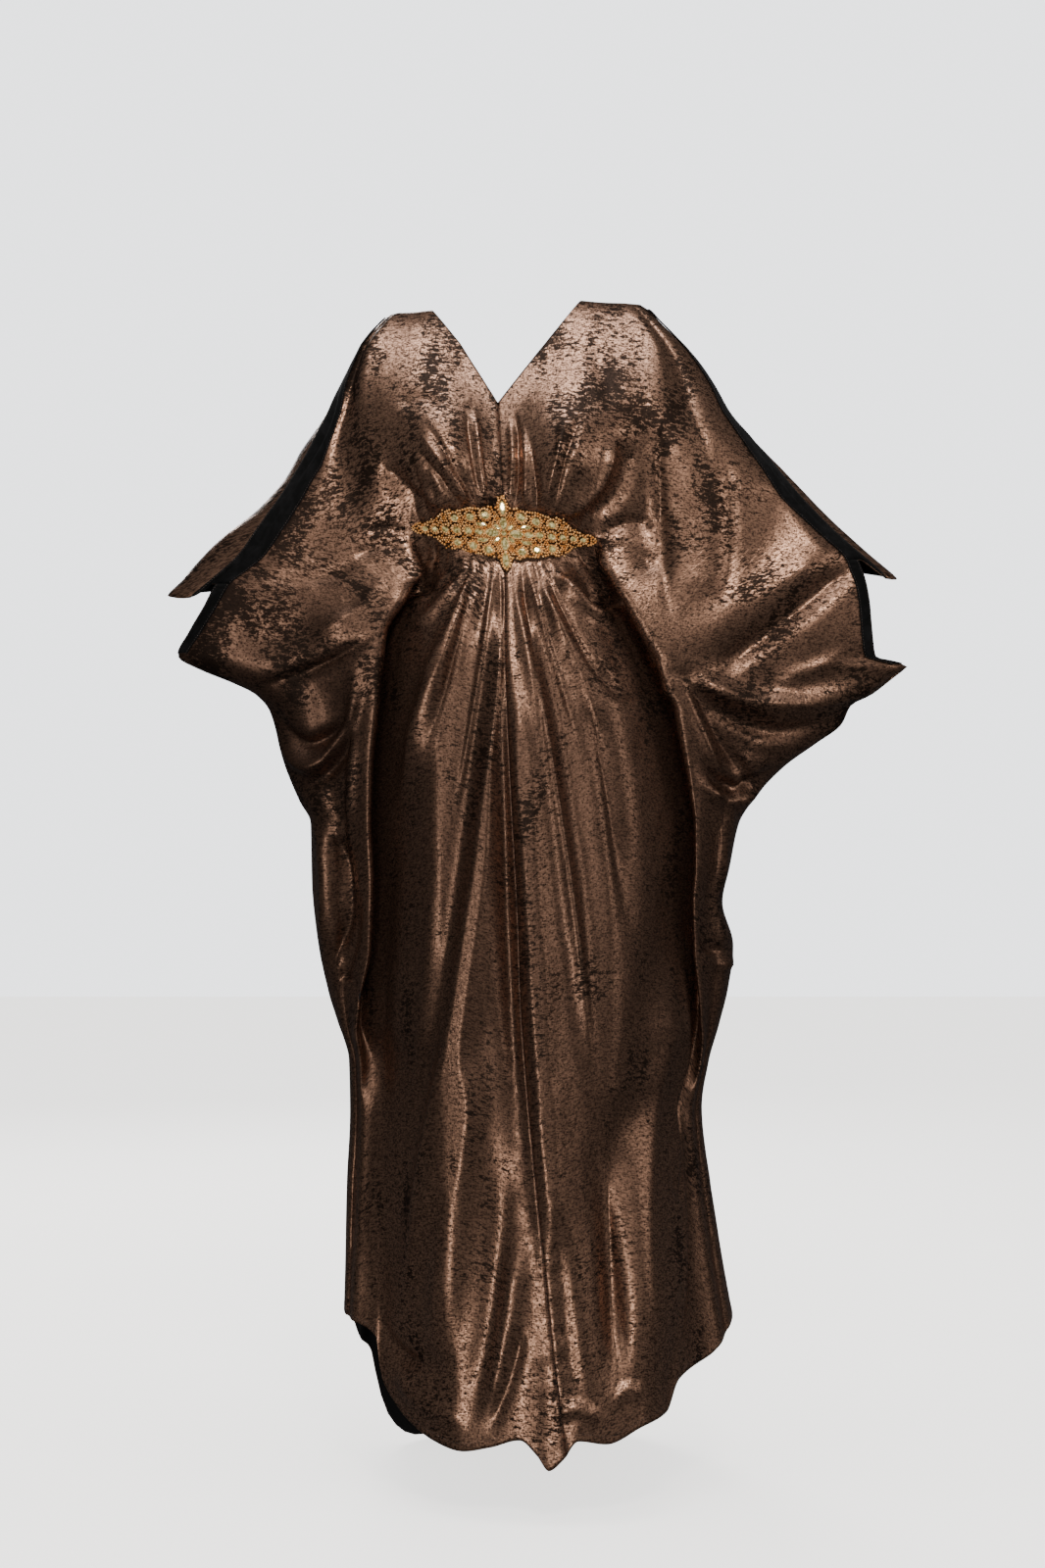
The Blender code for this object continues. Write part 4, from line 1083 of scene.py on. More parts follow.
@dataclass(frozen=True)
class Crystal(Toned):
    """Foil-backed glass stones: hard bright facets over a pale yellow-green mirror, mottled between
    pale and olive as painted reflection of bright and dark facets.
    """

    name: str = "foil_backed_crystal"
    # Pale and olive tones, mottled as painted reflection of bright and dark facets.
    light: str = "#f8e6a4"
    deep: str = "#857640"
    tone: Noise = Noise(3.0, 1)
    spread: tuple[float, float] = (0.36, 0.64)
    polish: tuple[float, float] = (0.14, 0.05)

    def plain(self) -> dict[str, object]:
        """The foil behind is half a mirror, and the glass a clear coat over it."""
        return {"Metallic": 0.4, "Coat Weight": 1.0, "Coat Roughness": 0.03}


@dataclass(frozen=True)
class SewingThread(Toned):
    """Polyester sewing thread in dull copper: soft shine with a fine twist 0.9 mm long."""

    name: str = "copper_sewing_thread"
    light: str = "#5e4436"
    deep: str = "#2e2019"
    tone: Noise = Noise(0.9, 2)

    def plain(self) -> dict[str, object]:
        """A soft shine, with a little sheen from loose fibres."""
        return {"Roughness": 0.5, "Sheen Weight": 0.2}


@dataclass(frozen=True)
class StudioFloor(Toned):
    """A painted studio floor: matt off-white with a faint rolled texture, lit from within."""

    name: str = "matt_studio_floor"
    light: str = "#f4f2ef"
    deep: str = "#eeebe7"
    tone: Noise = Noise(240.0, 3)
    glow: float = 1.9

    def plain(self) -> dict[str, object]:
        """Matt, with a glow that makes it as pale as the sky behind it."""
        lit = {"Emission Color": linear(self.light), "Emission Strength": self.glow}
        return lit | {"Roughness": 0.85}


# ---- The garment ----


@dataclass
class HalfPanel:
    """Half a front or back on its grid: points, outward normals and places on the flat cloth."""

    points: Array
    normals: Array
    flat: Array


@dataclass
class Course:
    """How a half panel's rows run: stations with X, stations with Y, and the arm's arc.

    The arc starts at the last station. Near is the depth from its widest point to its start, and
    far the depth to what it turns to beyond that point.
    """

    x_at: tuple[float, ...]
    x: list[Array]
    y_at: tuple[float, ...]
    y: list[Array]
    near: Array
    far: Array


@dataclass(frozen=True)
class Gathers:
    """Pleats that run out of the applique, up over the bust and down the skirt."""

    count: int = 8
    # How high they are above and below the applique, and where and over how much they fade.
    up: float = 1.0
    down: float = 0.8
    top: float = 165
    top_fade: float = 90
    foot: float = 650
    foot_fade: float = 360
    # The same beside the fold at the skirt's side and at the centre, in stations.
    side_fade: float = 0.06
    centre_fade: float = 0.04
    # Their size swings by this share, so many times across the panel, from this angle.
    uneven: float = 0.28
    swings: float = 2.3
    swing_start: float = 0.7
    # What rounds the troughs, and the wave's mean.
    rounding: float = 0.012
    mean: float = 1.27

    def lift(self, drops: Array, at: Array, fold_at: float) -> Array:
        """Their lift: twice the size of a cosine across the panel, less its mean.

        Each is a broad round pleat between sharp troughs.

        Args:
            drops: The rows' drops.
            at: Stations of a half front.
            fold_at: The station of the fold at the skirt's side.

        Returns:
            Lift, rows by columns.
        """
        up = self.up * ease((drops - self.top) / self.top_fade)
        down = self.down * ease((self.foot - drops) / self.foot_fade)
        size = np.where(drops < Applique.drop, up, down)[:, None]
        inner = ease((fold_at - at) / self.side_fade) * ease(at / self.centre_fade)
        swing = np.cos(2 * np.pi * self.swings * at / fold_at + self.swing_start)
        wave = 2 * np.sqrt(np.cos(np.pi * self.count * at / fold_at) ** 2 + self.rounding)
        return size * inner * (1 - self.uneven + self.uneven * swing) * (wave - self.mean)


@dataclass(frozen=True)
class Crumples:
    """Small soft crumples: noise of three sizes, drawn out down the cloth."""

    # Each noise's size across and down the cloth, and its height.
    layers: tuple[tuple[float, float, float], ...] = ((38, 96, 1.3), (17, 42, 0.32), (7, 15, 0.07))
    # The size of the places where they are stronger, and by how much.
    places: tuple[float, float, float] = (120, 150, 0.35)

    def lift(self, flat: Array, panel: Panel) -> Array:
        """Their lift: the sum of the noises, times a broader one.

        Args:
            flat: Places on the cloth.
            panel: Front or back.

        Returns:
            Lift of each point.
        """
        u, v = flat[..., 0], flat[..., 1]
        seed = 11 if panel is Panel.FRONT else 31
        total = 0
        for across, down, height in self.layers:
            total = total + smooth_noise(u, v, across, down, seed) * height
            seed += 1
        across, down, share = self.places
        return total * (1 - share + share * smooth_noise(u, v, across, down, seed))


@dataclass(frozen=True)
class Puckers:
    """Short ripples beside the centre seam, stronger on the skirt, and the groove on it."""

    height: float = 1.3
    length: float = 9
    stretch: float = 0.3
    away: float = 9
    width: float = 12
    skirt_drop: float = 640
    skirt_fade: float = 160
    bodice_share: float = 0.25
    groove: float = 1.1
    groove_width: float = 1.8

    def lift(self, flat: Array) -> Array:
        """Their lift: noise that falls off both ways from its middle line, less the groove.

        Args:
            flat: Places on a half front's cloth.

        Returns:
            Lift of each point.
        """
        away = np.abs(flat[..., 0] - flat[:, :1, 0])
        ripple = smooth_noise(
            flat[..., 0] * self.stretch, flat[..., 1], self.length, self.length, seed=53
        )
        below = ease((flat[..., 1] - self.skirt_drop) / self.skirt_fade)
        beside = np.exp(-(((away - self.away) / self.width) ** 2))
        beside *= self.bodice_share + (1 - self.bodice_share) * below
        groove = np.exp(-((away / self.groove_width) ** 2))
        return self.height * ripple * beside - self.groove * groove


@dataclass
class Drape:
    """The hanging cloth's form, from the tables, on a fine grid."""

    cloth: float = 1.6
    seam_gap: float = 0.1
    v_drop: float = 139
    v_reach: float = -8
    scoop_drop: float = 124
    scoop_power: float = 1.7
    shoulder_slope: float = 5
    shoulder_fade: float = 60
    hem_start: float = 1100
    hem_nominal: float = 1390
    # How fine the rows are down to each drop. Necks, cuffs and the hem's start fall on a row.
    row_steps: Table = Table(
        ("drop", "step"),
        (
            (10, 1.0), (25, 2.5), (124, 4.5), (139, 4.0), (328, 4.6), (358, 4.4), (445, 4.6),
            (460, 4.0), (1100, 4.9), (1390, 4.9),
        ),
    )
    # Stations across a half panel: 0 is the centre and 1 the seam.
    fold_at: float = 0.56
    crest_at: float = 0.67
    wing_at: float = 0.81
    turn: float = 0.034
    back_mid_at: float = 0.28
    back_side_at: float = 0.50
    back_wing_at: float = 0.62
    cuff_at: float = 0.62 + 0.38 / 6
    # The bust's or skirt's station lies a little nearer to the centre than half way.
    front_mid: float = 0.48
    # The back's sides are evened out this far up and down, from this drop on.
    back_blend: float = 60
    back_blend_from: float = 120
    arc_steps: int = 90
    # The columns under half of the overarm band, and the most of the arc that it takes.
    band_share: float = 1 / 3
    band_most: float = 0.6
    band_full: float = 210
    # A corner's pull keeps off the seam at a cuff's top and is rounded off away from it.
    corner_off: float = 0.95
    corner_fade: float = 0.1
    corner_round: float = 0.2
    # Lifts fade on a wing narrower than this, beside the tuck, to a seam, inside a cuff and at
    # the shoulder.
    wing_room: float = 80
    tuck_top: float = 290
    tuck_top_fade: float = 30
    tuck_foot: float = 1040
    tuck_foot_fade: float = 60
    tuck_half: float = 0.055
    tuck_fade: float = 0.075
    fine_at_tuck: float = 0.3
    seam_fade: float = 0.16
    cuff_fade: float = 24
    top_fade: float = 60
    # How far out of the applique lifts start, over how much they come to their full height, and
    # the same of what may rise beside it without covering it.
    free_from: float = 0.85
    free_over: float = 0.3
    rise_from: float = 0.98
    rise_over: float = 0.9
    most_rise: float = 16
    # How far to the side of the fronts the back lies on the flat cloth.
    back_flat: float = 3000
    gathers: Gathers = Gathers()
    crumples: Crumples = Crumples()
    puckers: Puckers = Puckers()
    drops: Array = field(init=False)
    share: Array = field(init=False)
    front_at: Array = field(init=False)
    back_at: Array = field(init=False)
    panels: dict[tuple[str, Panel], HalfPanel] = field(init=False)

    def __post_init__(self) -> None:
        """Works out the rows, the stations and the four half panels."""
        runs, top = [], 0.0
        for drop, step in self.row_steps.rows:
            count = int(np.ceil((drop - top) / step))
            runs.append(np.linspace(top, drop, count, endpoint=False))
            top = drop
        self.drops = np.concatenate([*runs, [self.hem_nominal]])
        fall = self.hem_nominal - self.hem_start
        self.share = np.clip((self.drops - self.hem_start) / fall, 0, 1)
        self.front_at = self.stations(
            (80, self.fold_at), (15, self.crest_at), (30, self.wing_at), (30, 1.0)
        )
        self.back_at = self.stations(
            (18, self.back_mid_at), (12, self.back_side_at), (12, self.back_wing_at), (36, 1.0)
        )
        self.panels = self.join_halves()

    @staticmethod
    def stations(*counts: tuple[int, float]) -> Array:
        """Station values along a row.

        Args:
            counts: How many columns lead up to each station.

        Returns:
            All stations from 0 to 1.
        """
        ends = [0.0, *(end for _, end in counts)]
        runs = [
            np.linspace(a, b, n, endpoint=False) for a, b, (n, _) in zip(ends, ends[1:], counts)
        ]
        return np.concatenate([*runs, [1.0]])

    def shut(self, half: HalfSizes) -> Array:
        """Rows where the overarm or side seam is closed, the cuff's ends among them."""
        return (self.drops <= half.cuff_top) | (self.drops >= half.cuff_foot)

    def heights(self, x: Array, at: Array, half: HalfSizes, hem: Table) -> Array:
        """Z of every point: its row's drop, the shoulder's slope at the top, the hem's at the foot.

        Args:
            x: The points' X.
            at: Their stations.
            half: The side's sizes.
            hem: The hem's drop along X.

        Returns:
            Z, in x's shape.
        """
        tilt = half.neck_drop + self.shoulder_slope * at[None, :]
        fade = np.clip(1 - self.drops / self.shoulder_fade, 0, 1)[:, None]
        drop = self.drops[:, None] + tilt * fade
        below = self.hem_start + (hem.read("drop", x) - self.hem_start) * self.share[:, None]
        return -np.where(self.share[:, None] > 0, below, drop)

    def band_width(self, half: HalfSizes) -> Array:
        """Width of the overarm band at every row: narrow at the neck, then full."""
        first = VelvetBands.start_drop
        widening = ease((self.drops - first) / (self.band_full - first))
        return half.band * (half.band_top + (1 - half.band_top) * widening)

    def share_out(self, arc: Array, width: Array, inner: Array) -> list[Array]:
        """Shares columns out along the arcs round the arm.

        The last third of the columns shares half of the overarm band's width, and the others
        share the rest of the arc, by its length.

        Args:
            arc: Points along each row's arc, seen from above.
            width: The band's width at each row.
            inner: The columns' places, from 0 where the arc starts to 1 at the seam.

        Returns:
            The columns' X and Y, each rows by columns.
        """
        along = running_length(arc, 1, (0, 1))
        whole = along[:, -1:]
        band = np.minimum(width[:, None] / 2, self.band_most * whole)
        plain = 1 - self.band_share
        to_band = np.minimum(inner / plain, 1)[None, :] * (whole - band)
        in_band = np.maximum((inner - plain) / self.band_share, 0)[None, :] * band
        place = np.minimum(to_band + in_band, whole)
        return [read_rows(place, along, arc[..., k]) for k in range(2)]

    def form(self, half: HalfSizes, panel: Panel) -> Array:
        """The large form of a half panel, without folds.

        Each row is a smooth curve from the centre to the wing's middle, and then an arc round the
        arm to the seam: at angle a it lies at middle + across times sine a and at edge + near
        times cosine a, or far in place of near beyond a quarter turn.

        Args:
            half: The side's sizes.
            panel: Front or back.

        Returns:
            Points, rows by columns.
        """
        front = panel is Panel.FRONT
        at, hem = (self.front_at, FRONT_HEM) if front else (self.back_at, BACK_HEM)
        outline = {n: half.outline.read(n, self.drops) for n in OUTLINE[1:]}
        depth = {n: DEPTHS.read(n, self.drops) for n in DEPTHS.columns[1:]}
        rows = self.front_rows if front else self.back_rows
        course = rows(half, outline, depth)
        x = through(course.x_at, np.array(course.x), at).T
        y = through(course.y_at, np.array(course.y), at, level_ends=True).T
        middle, start = course.x[-1], course.y_at[-1]
        across = outline["reach"] - middle
        end = np.arcsin(np.clip((outline["seam"] - middle) / np.maximum(across, 1), -1, 1))
        if not front:
            end = np.where(self.drops < half.cuff_foot, np.pi - end, np.pi / 2)
        angle = end[:, None] * np.linspace(0, 1, self.arc_steps)
        deep = np.where(angle <= np.pi / 2, course.near[:, None], course.far[:, None])
        arc_x = middle[:, None] + across[:, None] * np.sin(angle)
        arc = np.stack([arc_x, depth["edge"][:, None] + deep * np.cos(angle)], axis=-1)
        past = at > start
        inner = (at[past] - start) / (1 - start)
        x[:, past], y[:, past] = self.share_out(arc, self.band_width(half), inner)
        x = x * half.sign
        return np.stack([x, y, self.heights(x, at, half, hem)], axis=-1)

    def front_rows(self, half: HalfSizes, outline: dict, depth: dict) -> Course:
        """A half front's rows: the centre, the bust or skirt, the valley, the crest, the wing.

        Args:
            half: The side's sizes.
            outline: The outline's columns at every row.
            depth: The depths' columns at every row.

        Returns:
            How the rows run.
        """
        drops, fold = self.drops, outline["fold"]
        foot = self.v_reach * half.sign
        neck = foot + (half.neck_reach - foot) * (1 - np.clip(drops / self.v_drop, 0, 1))
        centre = np.where(drops < self.v_drop, neck, CENTRE_SEAM.read("x", drops) * half.sign)
        crest = fold + TUCK.read("beyond", drops)
        middle = (np.maximum(crest, fold) + outline["reach"]) / 2
        mid = centre + (fold - centre) * self.front_mid
        near = depth["wing"] - depth["edge"]
        half_way, wing_at = self.fold_at / 2, self.wing_at
        return Course(
            (0, half_way, self.fold_at + self.turn, self.crest_at - self.turn, wing_at),
            [centre, mid, fold, crest, middle],
            (0, half_way, self.fold_at, self.crest_at, wing_at),
            [depth[n] for n in FRONT_DEPTHS],
            near,
            near,
        )

    def back_rows(self, half: HalfSizes, outline: dict, depth: dict) -> Course:
        """A half back's rows: the centre, half way, the side and the wing.

        The side's fold and the wing's middle are means of the outline over some way up and down,
        so that the front's tuck does not crease the back.

        Args:
            half: The side's sizes.
            outline: The outline's columns at every row. Not used.
            depth: The depths' columns at every row.

        Returns:
            How the rows run.
        """
        drops = self.drops
        scoop = 1 - np.clip(drops / self.scoop_drop, 0, 1) ** self.scoop_power
        line = CENTRE_SEAM.read("x", np.maximum(drops, self.hem_start / 2)) * half.sign
        line = line * np.clip(drops / self.hem_start, 0, 1)
        centre = np.where(drops < self.scoop_drop, half.neck_reach * scoop, line)
        spread = self.back_blend * ease(drops / self.back_blend_from - 1)
        around = (drops + np.linspace(-1, 1, 13)[:, None] * spread).ravel()
        fold, reach = (
            half.outline.read(n, around).reshape(-1, len(drops)).mean(axis=0)
            for n in ("fold", "reach")
        )
        keys = (0, self.back_mid_at, self.back_side_at, self.back_wing_at)
        return Course(
            keys,
            [centre, (centre + fold) / 2, fold, (fold + reach) / 2],
            keys,
            [depth[n] for n in BACK_DEPTHS],
            depth["back_wing"] - depth["edge"],
            depth["edge"] - depth["wing"],
        )

    def pull_corners(self, points: Array, half: HalfSizes, panel: Panel, at: Array) -> Array:
        """Moves the cuff corners of a half panel to where they hang.

        A corner's pull falls off in a line above its drop, by its square below it, and eases in
        from its starting station to the seam. On the back it is rounded off away from the seam.

        Args:
            points: The half panel.
            half: The side's sizes.
            panel: Front or back.
            at: Its stations.

        Returns:
            The moved points.
        """
        for corner in half.corners:
            if corner.panel is not panel:
                continue
            along = ease((at - corner.start) / (1 - corner.start))
            near = np.clip(1 - np.abs(self.drops - corner.drop) / corner.spread, 0, 1)
            near = np.where(self.drops > corner.drop, near**2, near)[:, None]
            if panel is Panel.BACK:
                near = near + (ease(near) - near) * ease((1 - at) / self.corner_round)[None, :]
                if corner.drop == half.cuff_top:
                    along = along * ease((self.corner_off - at) / self.corner_fade)
            move = np.array([half.sign * corner.out, -corner.forward, -corner.down])
            points = points + (near * along[None, :])[..., None] * move
        return points

    def normals_of(self, points: Array, half: HalfSizes, panel: Panel) -> Array:
        """Outward unit normals of a half panel, taken apart above and below an open cuff.

        Args:
            points: The half panel.
            half: The side's sizes.
            panel: Front or back.

        Returns:
            The normals.
        """
        across = np.gradient(points, axis=1)
        down = np.gradient(points, axis=0)
        if panel is Panel.BACK:
            top, foot = np.searchsorted(self.drops, (half.cuff_top - NEAR, half.cuff_foot - NEAR))
            first = np.searchsorted(self.back_at, self.cuff_at - NEAR)
            for part in (slice(0, top + 1), slice(foot, None)):
                down[part, first:] = np.gradient(points[part, first:], axis=0)
        out = -half.sign if panel is Panel.FRONT else half.sign
        return unit(np.cross(across, down)) * out

    def front_lift(self, half: HalfSizes, points: Array, lift: Array, fine: Array) -> Array:
        """Joins a half front's lifts.

        Folds fade on a narrow wing and beside the tuck, small lifts in part beside the tuck, and
        all at the applique.

        Args:
            half: The side's sizes.
            points: The form.
            lift: The folds' and gathers' lift.
            fine: The small creases' and crumples' lift.

        Returns:
            The whole lift.
        """
        at, drops = self.front_at, self.drops
        room = half.outline.read("reach", drops) - half.outline.read("fold", drops)
        wing = ease((at - self.fold_at) / self.gathers.side_fade + 1)
        lift = lift * (1 - wing * (1 - np.clip(room / self.wing_room, 0, 1)[:, None]))
        tucked = ease((drops - self.tuck_top) / self.tuck_top_fade)
        tucked *= ease((self.tuck_foot - drops) / self.tuck_foot_fade)
        beside = np.abs(at - (self.fold_at + self.crest_at) / 2) - self.tuck_half
        near_tuck = tucked[:, None] * ease(1 - np.maximum(beside, 0) / self.tuck_fade)
        lift = lift * (1 - near_tuck) + fine * (1 - (1 - self.fine_at_tuck) * near_tuck)
        out_of = Applique.beside(points[..., 0], points[..., 2])
        lift = lift * ease((out_of - self.free_from) / self.free_over)
        return np.minimum(lift, self.most_rise * ease((out_of - self.rise_from) / self.rise_over))

    def dressed(self, half: HalfSizes, panel: Panel) -> HalfPanel:
        """A half panel with its folds, gathers and small crumples.

        Each point moves along the form's normal by the sum of all lifts. The lifts fade towards
        a closed seam and a cuff's ends, and at the shoulder.

        Args:
            half: The side's sizes.
            panel: Front or back.

        Returns:
            The half panel.
        """
        front = panel is Panel.FRONT
        at, drops = self.front_at if front else self.back_at, self.drops
        points = self.form(half, panel)
        x, z = points[..., 0], points[..., 2]
        run = points[:, :1, 0] * half.sign + running_length(points, 1, (0, 1))
        fall = running_length(points, 0, (1, 2))
        flat = np.stack([half.sign * run + (0 if front else self.back_flat), fall], axis=-1)
        normal = self.normals_of(points, half, panel)
        folds, creases = (FRONT_FOLDS, FRONT_CREASES) if front else (BACK_FOLDS, BACK_CREASES)
        lift = fold_lift(x, z, folds)
        fine = fold_lift(x, z, creases) + self.crumples.lift(flat, panel)
        if front:
            lift = lift + self.gathers.lift(drops, at, self.fold_at)
            lift = self.front_lift(half, points, lift, fine + self.puckers.lift(flat))
        else:
            lift = lift + fine
        to_seam = ease((1 - at) / self.seam_fade)[None, :]
        inside_cuff = np.minimum(drops - half.cuff_top, half.cuff_foot - drops)
        loose = ease(inside_cuff / self.cuff_fade)[:, None]
        lift *= (to_seam + (1 - to_seam) * loose) * ease(drops / self.top_fade)[:, None]
        points = points + lift[..., None] * normal
        points = self.pull_corners(points, half, panel, at)
        return HalfPanel(points, self.normals_of(points, half, panel), flat)

    def join_halves(self) -> dict[tuple[str, Panel], HalfPanel]:
        """Makes the four half panels and joins their shoulder, overarm, side and centre seams."""
        made = {(half.word, panel): self.dressed(half, panel) for half in HALVES for panel in Panel}
        for half in HALVES:
            pair = made[half.word, Panel.FRONT], made[half.word, Panel.BACK]
            self.meet(*pair, (self.shut(half), -1))
        for panel, top in ((Panel.FRONT, self.v_drop), (Panel.BACK, self.scoop_drop)):
            self.meet(made["right", panel], made["left", panel], (self.drops >= top, 0))
        return made

    @staticmethod
    def meet(first: HalfPanel, second: HalfPanel, seam: tuple) -> None:
        """Gives two half panels their mean along a seam.

        Args:
            first: One half panel.
            second: The other.
            seam: The seam's rows and column.
        """
        normal = unit((first.normals[seam] + second.normals[seam]) / 2)
        point = (first.points[seam] + second.points[seam]) / 2
        for panel in (first, second):
            panel.normals[seam] = normal
            panel.points[seam] = point


@dataclass
class Garment:
    """The sewn cloth: two fronts with a centre seam, and a back in one piece."""

    drape: Drape
    foil: Material
    wrong: Material
    back_cut: Cut = Cut(1.12, 1.56, 1.06)

    def trimmed(self, points: Array, *seams: tuple[Array, int]) -> Array:
        """Moves the seams' and the shoulder's edges back by half a seam's gap.

        Args:
            points: A half panel.
            seams: Each seam's rows and its column, 0 at the centre and -1 at the side.

        Returns:
            The points with those edges moved.
        """
        points = points.copy()
        for rows, edge in seams:
            beside = 1 if edge == 0 else -2
            inwards = unit(points[rows, beside] - points[rows, edge])
            points[rows, edge] += inwards * self.drape.seam_gap / 2
        points[0] += unit(points[1] - points[0]) * self.drape.seam_gap / 2
        return points

    def build_front(self, half: HalfSizes) -> None:
        """Makes one front."""
        drape, panel = self.drape, self.drape.panels[half.word, Panel.FRONT]
        seams = (drape.shut(half), -1), (drape.drops >= drape.v_drop, 0)
        points = self.trimmed(panel.points, *seams)
        made = points.reshape(-1, 3), grid_quads(points, flip=half.sign > 0)
        self.finish(f"front_{half.word}", made, panel.flat)

    def build_back(self) -> None:
        """Makes the back: both halves on one mesh, open at the neck's scoop and the cuffs."""
        drape = self.drape
        points, flats, faces = [], [], []
        for half in HALVES:
            panel = drape.panels[half.word, Panel.BACK]
            grid = self.trimmed(panel.points, (drape.shut(half), -1))
            below = drape.drops[:-1] >= half.cuff_top - NEAR
            above = drape.drops[1:] <= half.cuff_foot + NEAR
            beyond = drape.back_at[:-1] >= drape.cuff_at - NEAR
            kept = ~((below & above)[:, None] & beyond[None, :])
            faces.append(grid_quads(grid, kept, sum(len(p) for p in points), half.sign < 0))
            points.append(grid.reshape(-1, 3))
            flats.append(panel.flat.reshape(-1, 2))
        joined = np.nonzero(drape.drops >= drape.scoop_drop)[0] * len(drape.back_at)
        place = np.arange(len(points[0]) * 2)
        place[len(points[0]) + joined] = joined
        made = np.vstack(points), place[np.vstack(faces)]
        self.finish("back", made, np.vstack(flats))

    def finish(self, name: str, made: tuple, flat: Array) -> None:
        """Args:
            name: The node that it replaces.
            made: Its points and faces.
            flat: The points' places on the cloth.
        """
        finishes = (self.foil, self.wrong)
        piece = add_mesh(
            f"{name}_cloth", *made, finishes, "bronze_foil_cloth", uv=flat.reshape(-1, 2)
        )
        thicken(piece, self.drape.cloth, lined=True)
        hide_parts(name)


@dataclass
class VelvetBands:
    """Velvet ribbons over the overarm seams and along the front edges of the cuffs."""

    drape: Drape
    velvet: Material
    wall: float = 1.2
    lift: float = 0.35
    crown: float = 0.5
    ripple: float = 0.15
    start_drop: float = 10
    cuff_gap: float = 0.4
    front_columns: int = 10
    back_columns: int = 12

    def lay(self, name: str, points: Array, normals: Array, flip: bool, cut: Cut) -> HalfPanel:
        """Lays a ribbon on the cloth, its middle crowned a little over its two edges.

        It lies over the cloth by half of both walls, the lift, and the crown times one less the
        sixth power of the distance from its middle line.

        Args:
            name: The ribbon's name, without its ending.
            points: The cloth under it, rows by columns.
            normals: The cloth's normals.
            flip: Whether the faces turn round.
            cut: The ribbon's cut size. Not used.

        Returns:
            The ribbon's grid.
        """
        across = np.linspace(-1, 1, points.shape[1])[None, :, None]
        flat = np.stack([running_length(points, k, (0, 1, 2)) for k in (1, 0)], axis=-1)
        ripple = smooth_noise(flat[..., 0], flat[..., 1], 9, 16, 71)[..., None] * self.ripple
        height = (self.drape.cloth + self.wall) / 2 + self.lift + self.crown * (1 - across**6)
        points = points + normals * (height + ripple)
        made = points.reshape(-1, 3), grid_quads(points, flip=flip), (self.velvet,), "black_velvet"
        piece = add_mesh(f"{name}_velvet", *made, uv=flat.reshape(-1, 2))
        thicken(piece, self.wall)
        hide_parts(name)
        return HalfPanel(points, normals, flat)

    def build(self, half: HalfSizes) -> list[HalfPanel]:
        """Makes one side's two ribbons.

        Args:
            half: The side's sizes.

        Returns:
            Their grids.
        """
        drops = self.drape.drops
        front, back = (self.drape.panels[half.word, panel] for panel in Panel)
        ahead, behind = slice(-self.front_columns - 1, None), slice(-2, -self.back_columns - 2, -1)
        over = np.hstack([front.points[:, ahead], back.points[:, behind]])
        outward = np.hstack([front.normals[:, ahead], back.normals[:, behind]])
        rows = (drops >= self.start_drop) & (drops <= half.cuff_top + NEAR)
        arm = f"overarm_band_{half.word}", over[rows], outward[rows]
        rows = (drops >= half.cuff_top - NEAR) & (drops < half.cuff_foot - 1)
        edge = front.points[rows, ahead].copy()
        edge[0] += unit(edge[1] - edge[0]) * self.cuff_gap
        cuff = f"cuff_band_{half.word}", edge, front.normals[rows, ahead]
        flip = half.sign > 0
        return [self.lay(*arm, flip, half.overarm_cut), self.lay(*cuff, flip, half.cuff_cut)]


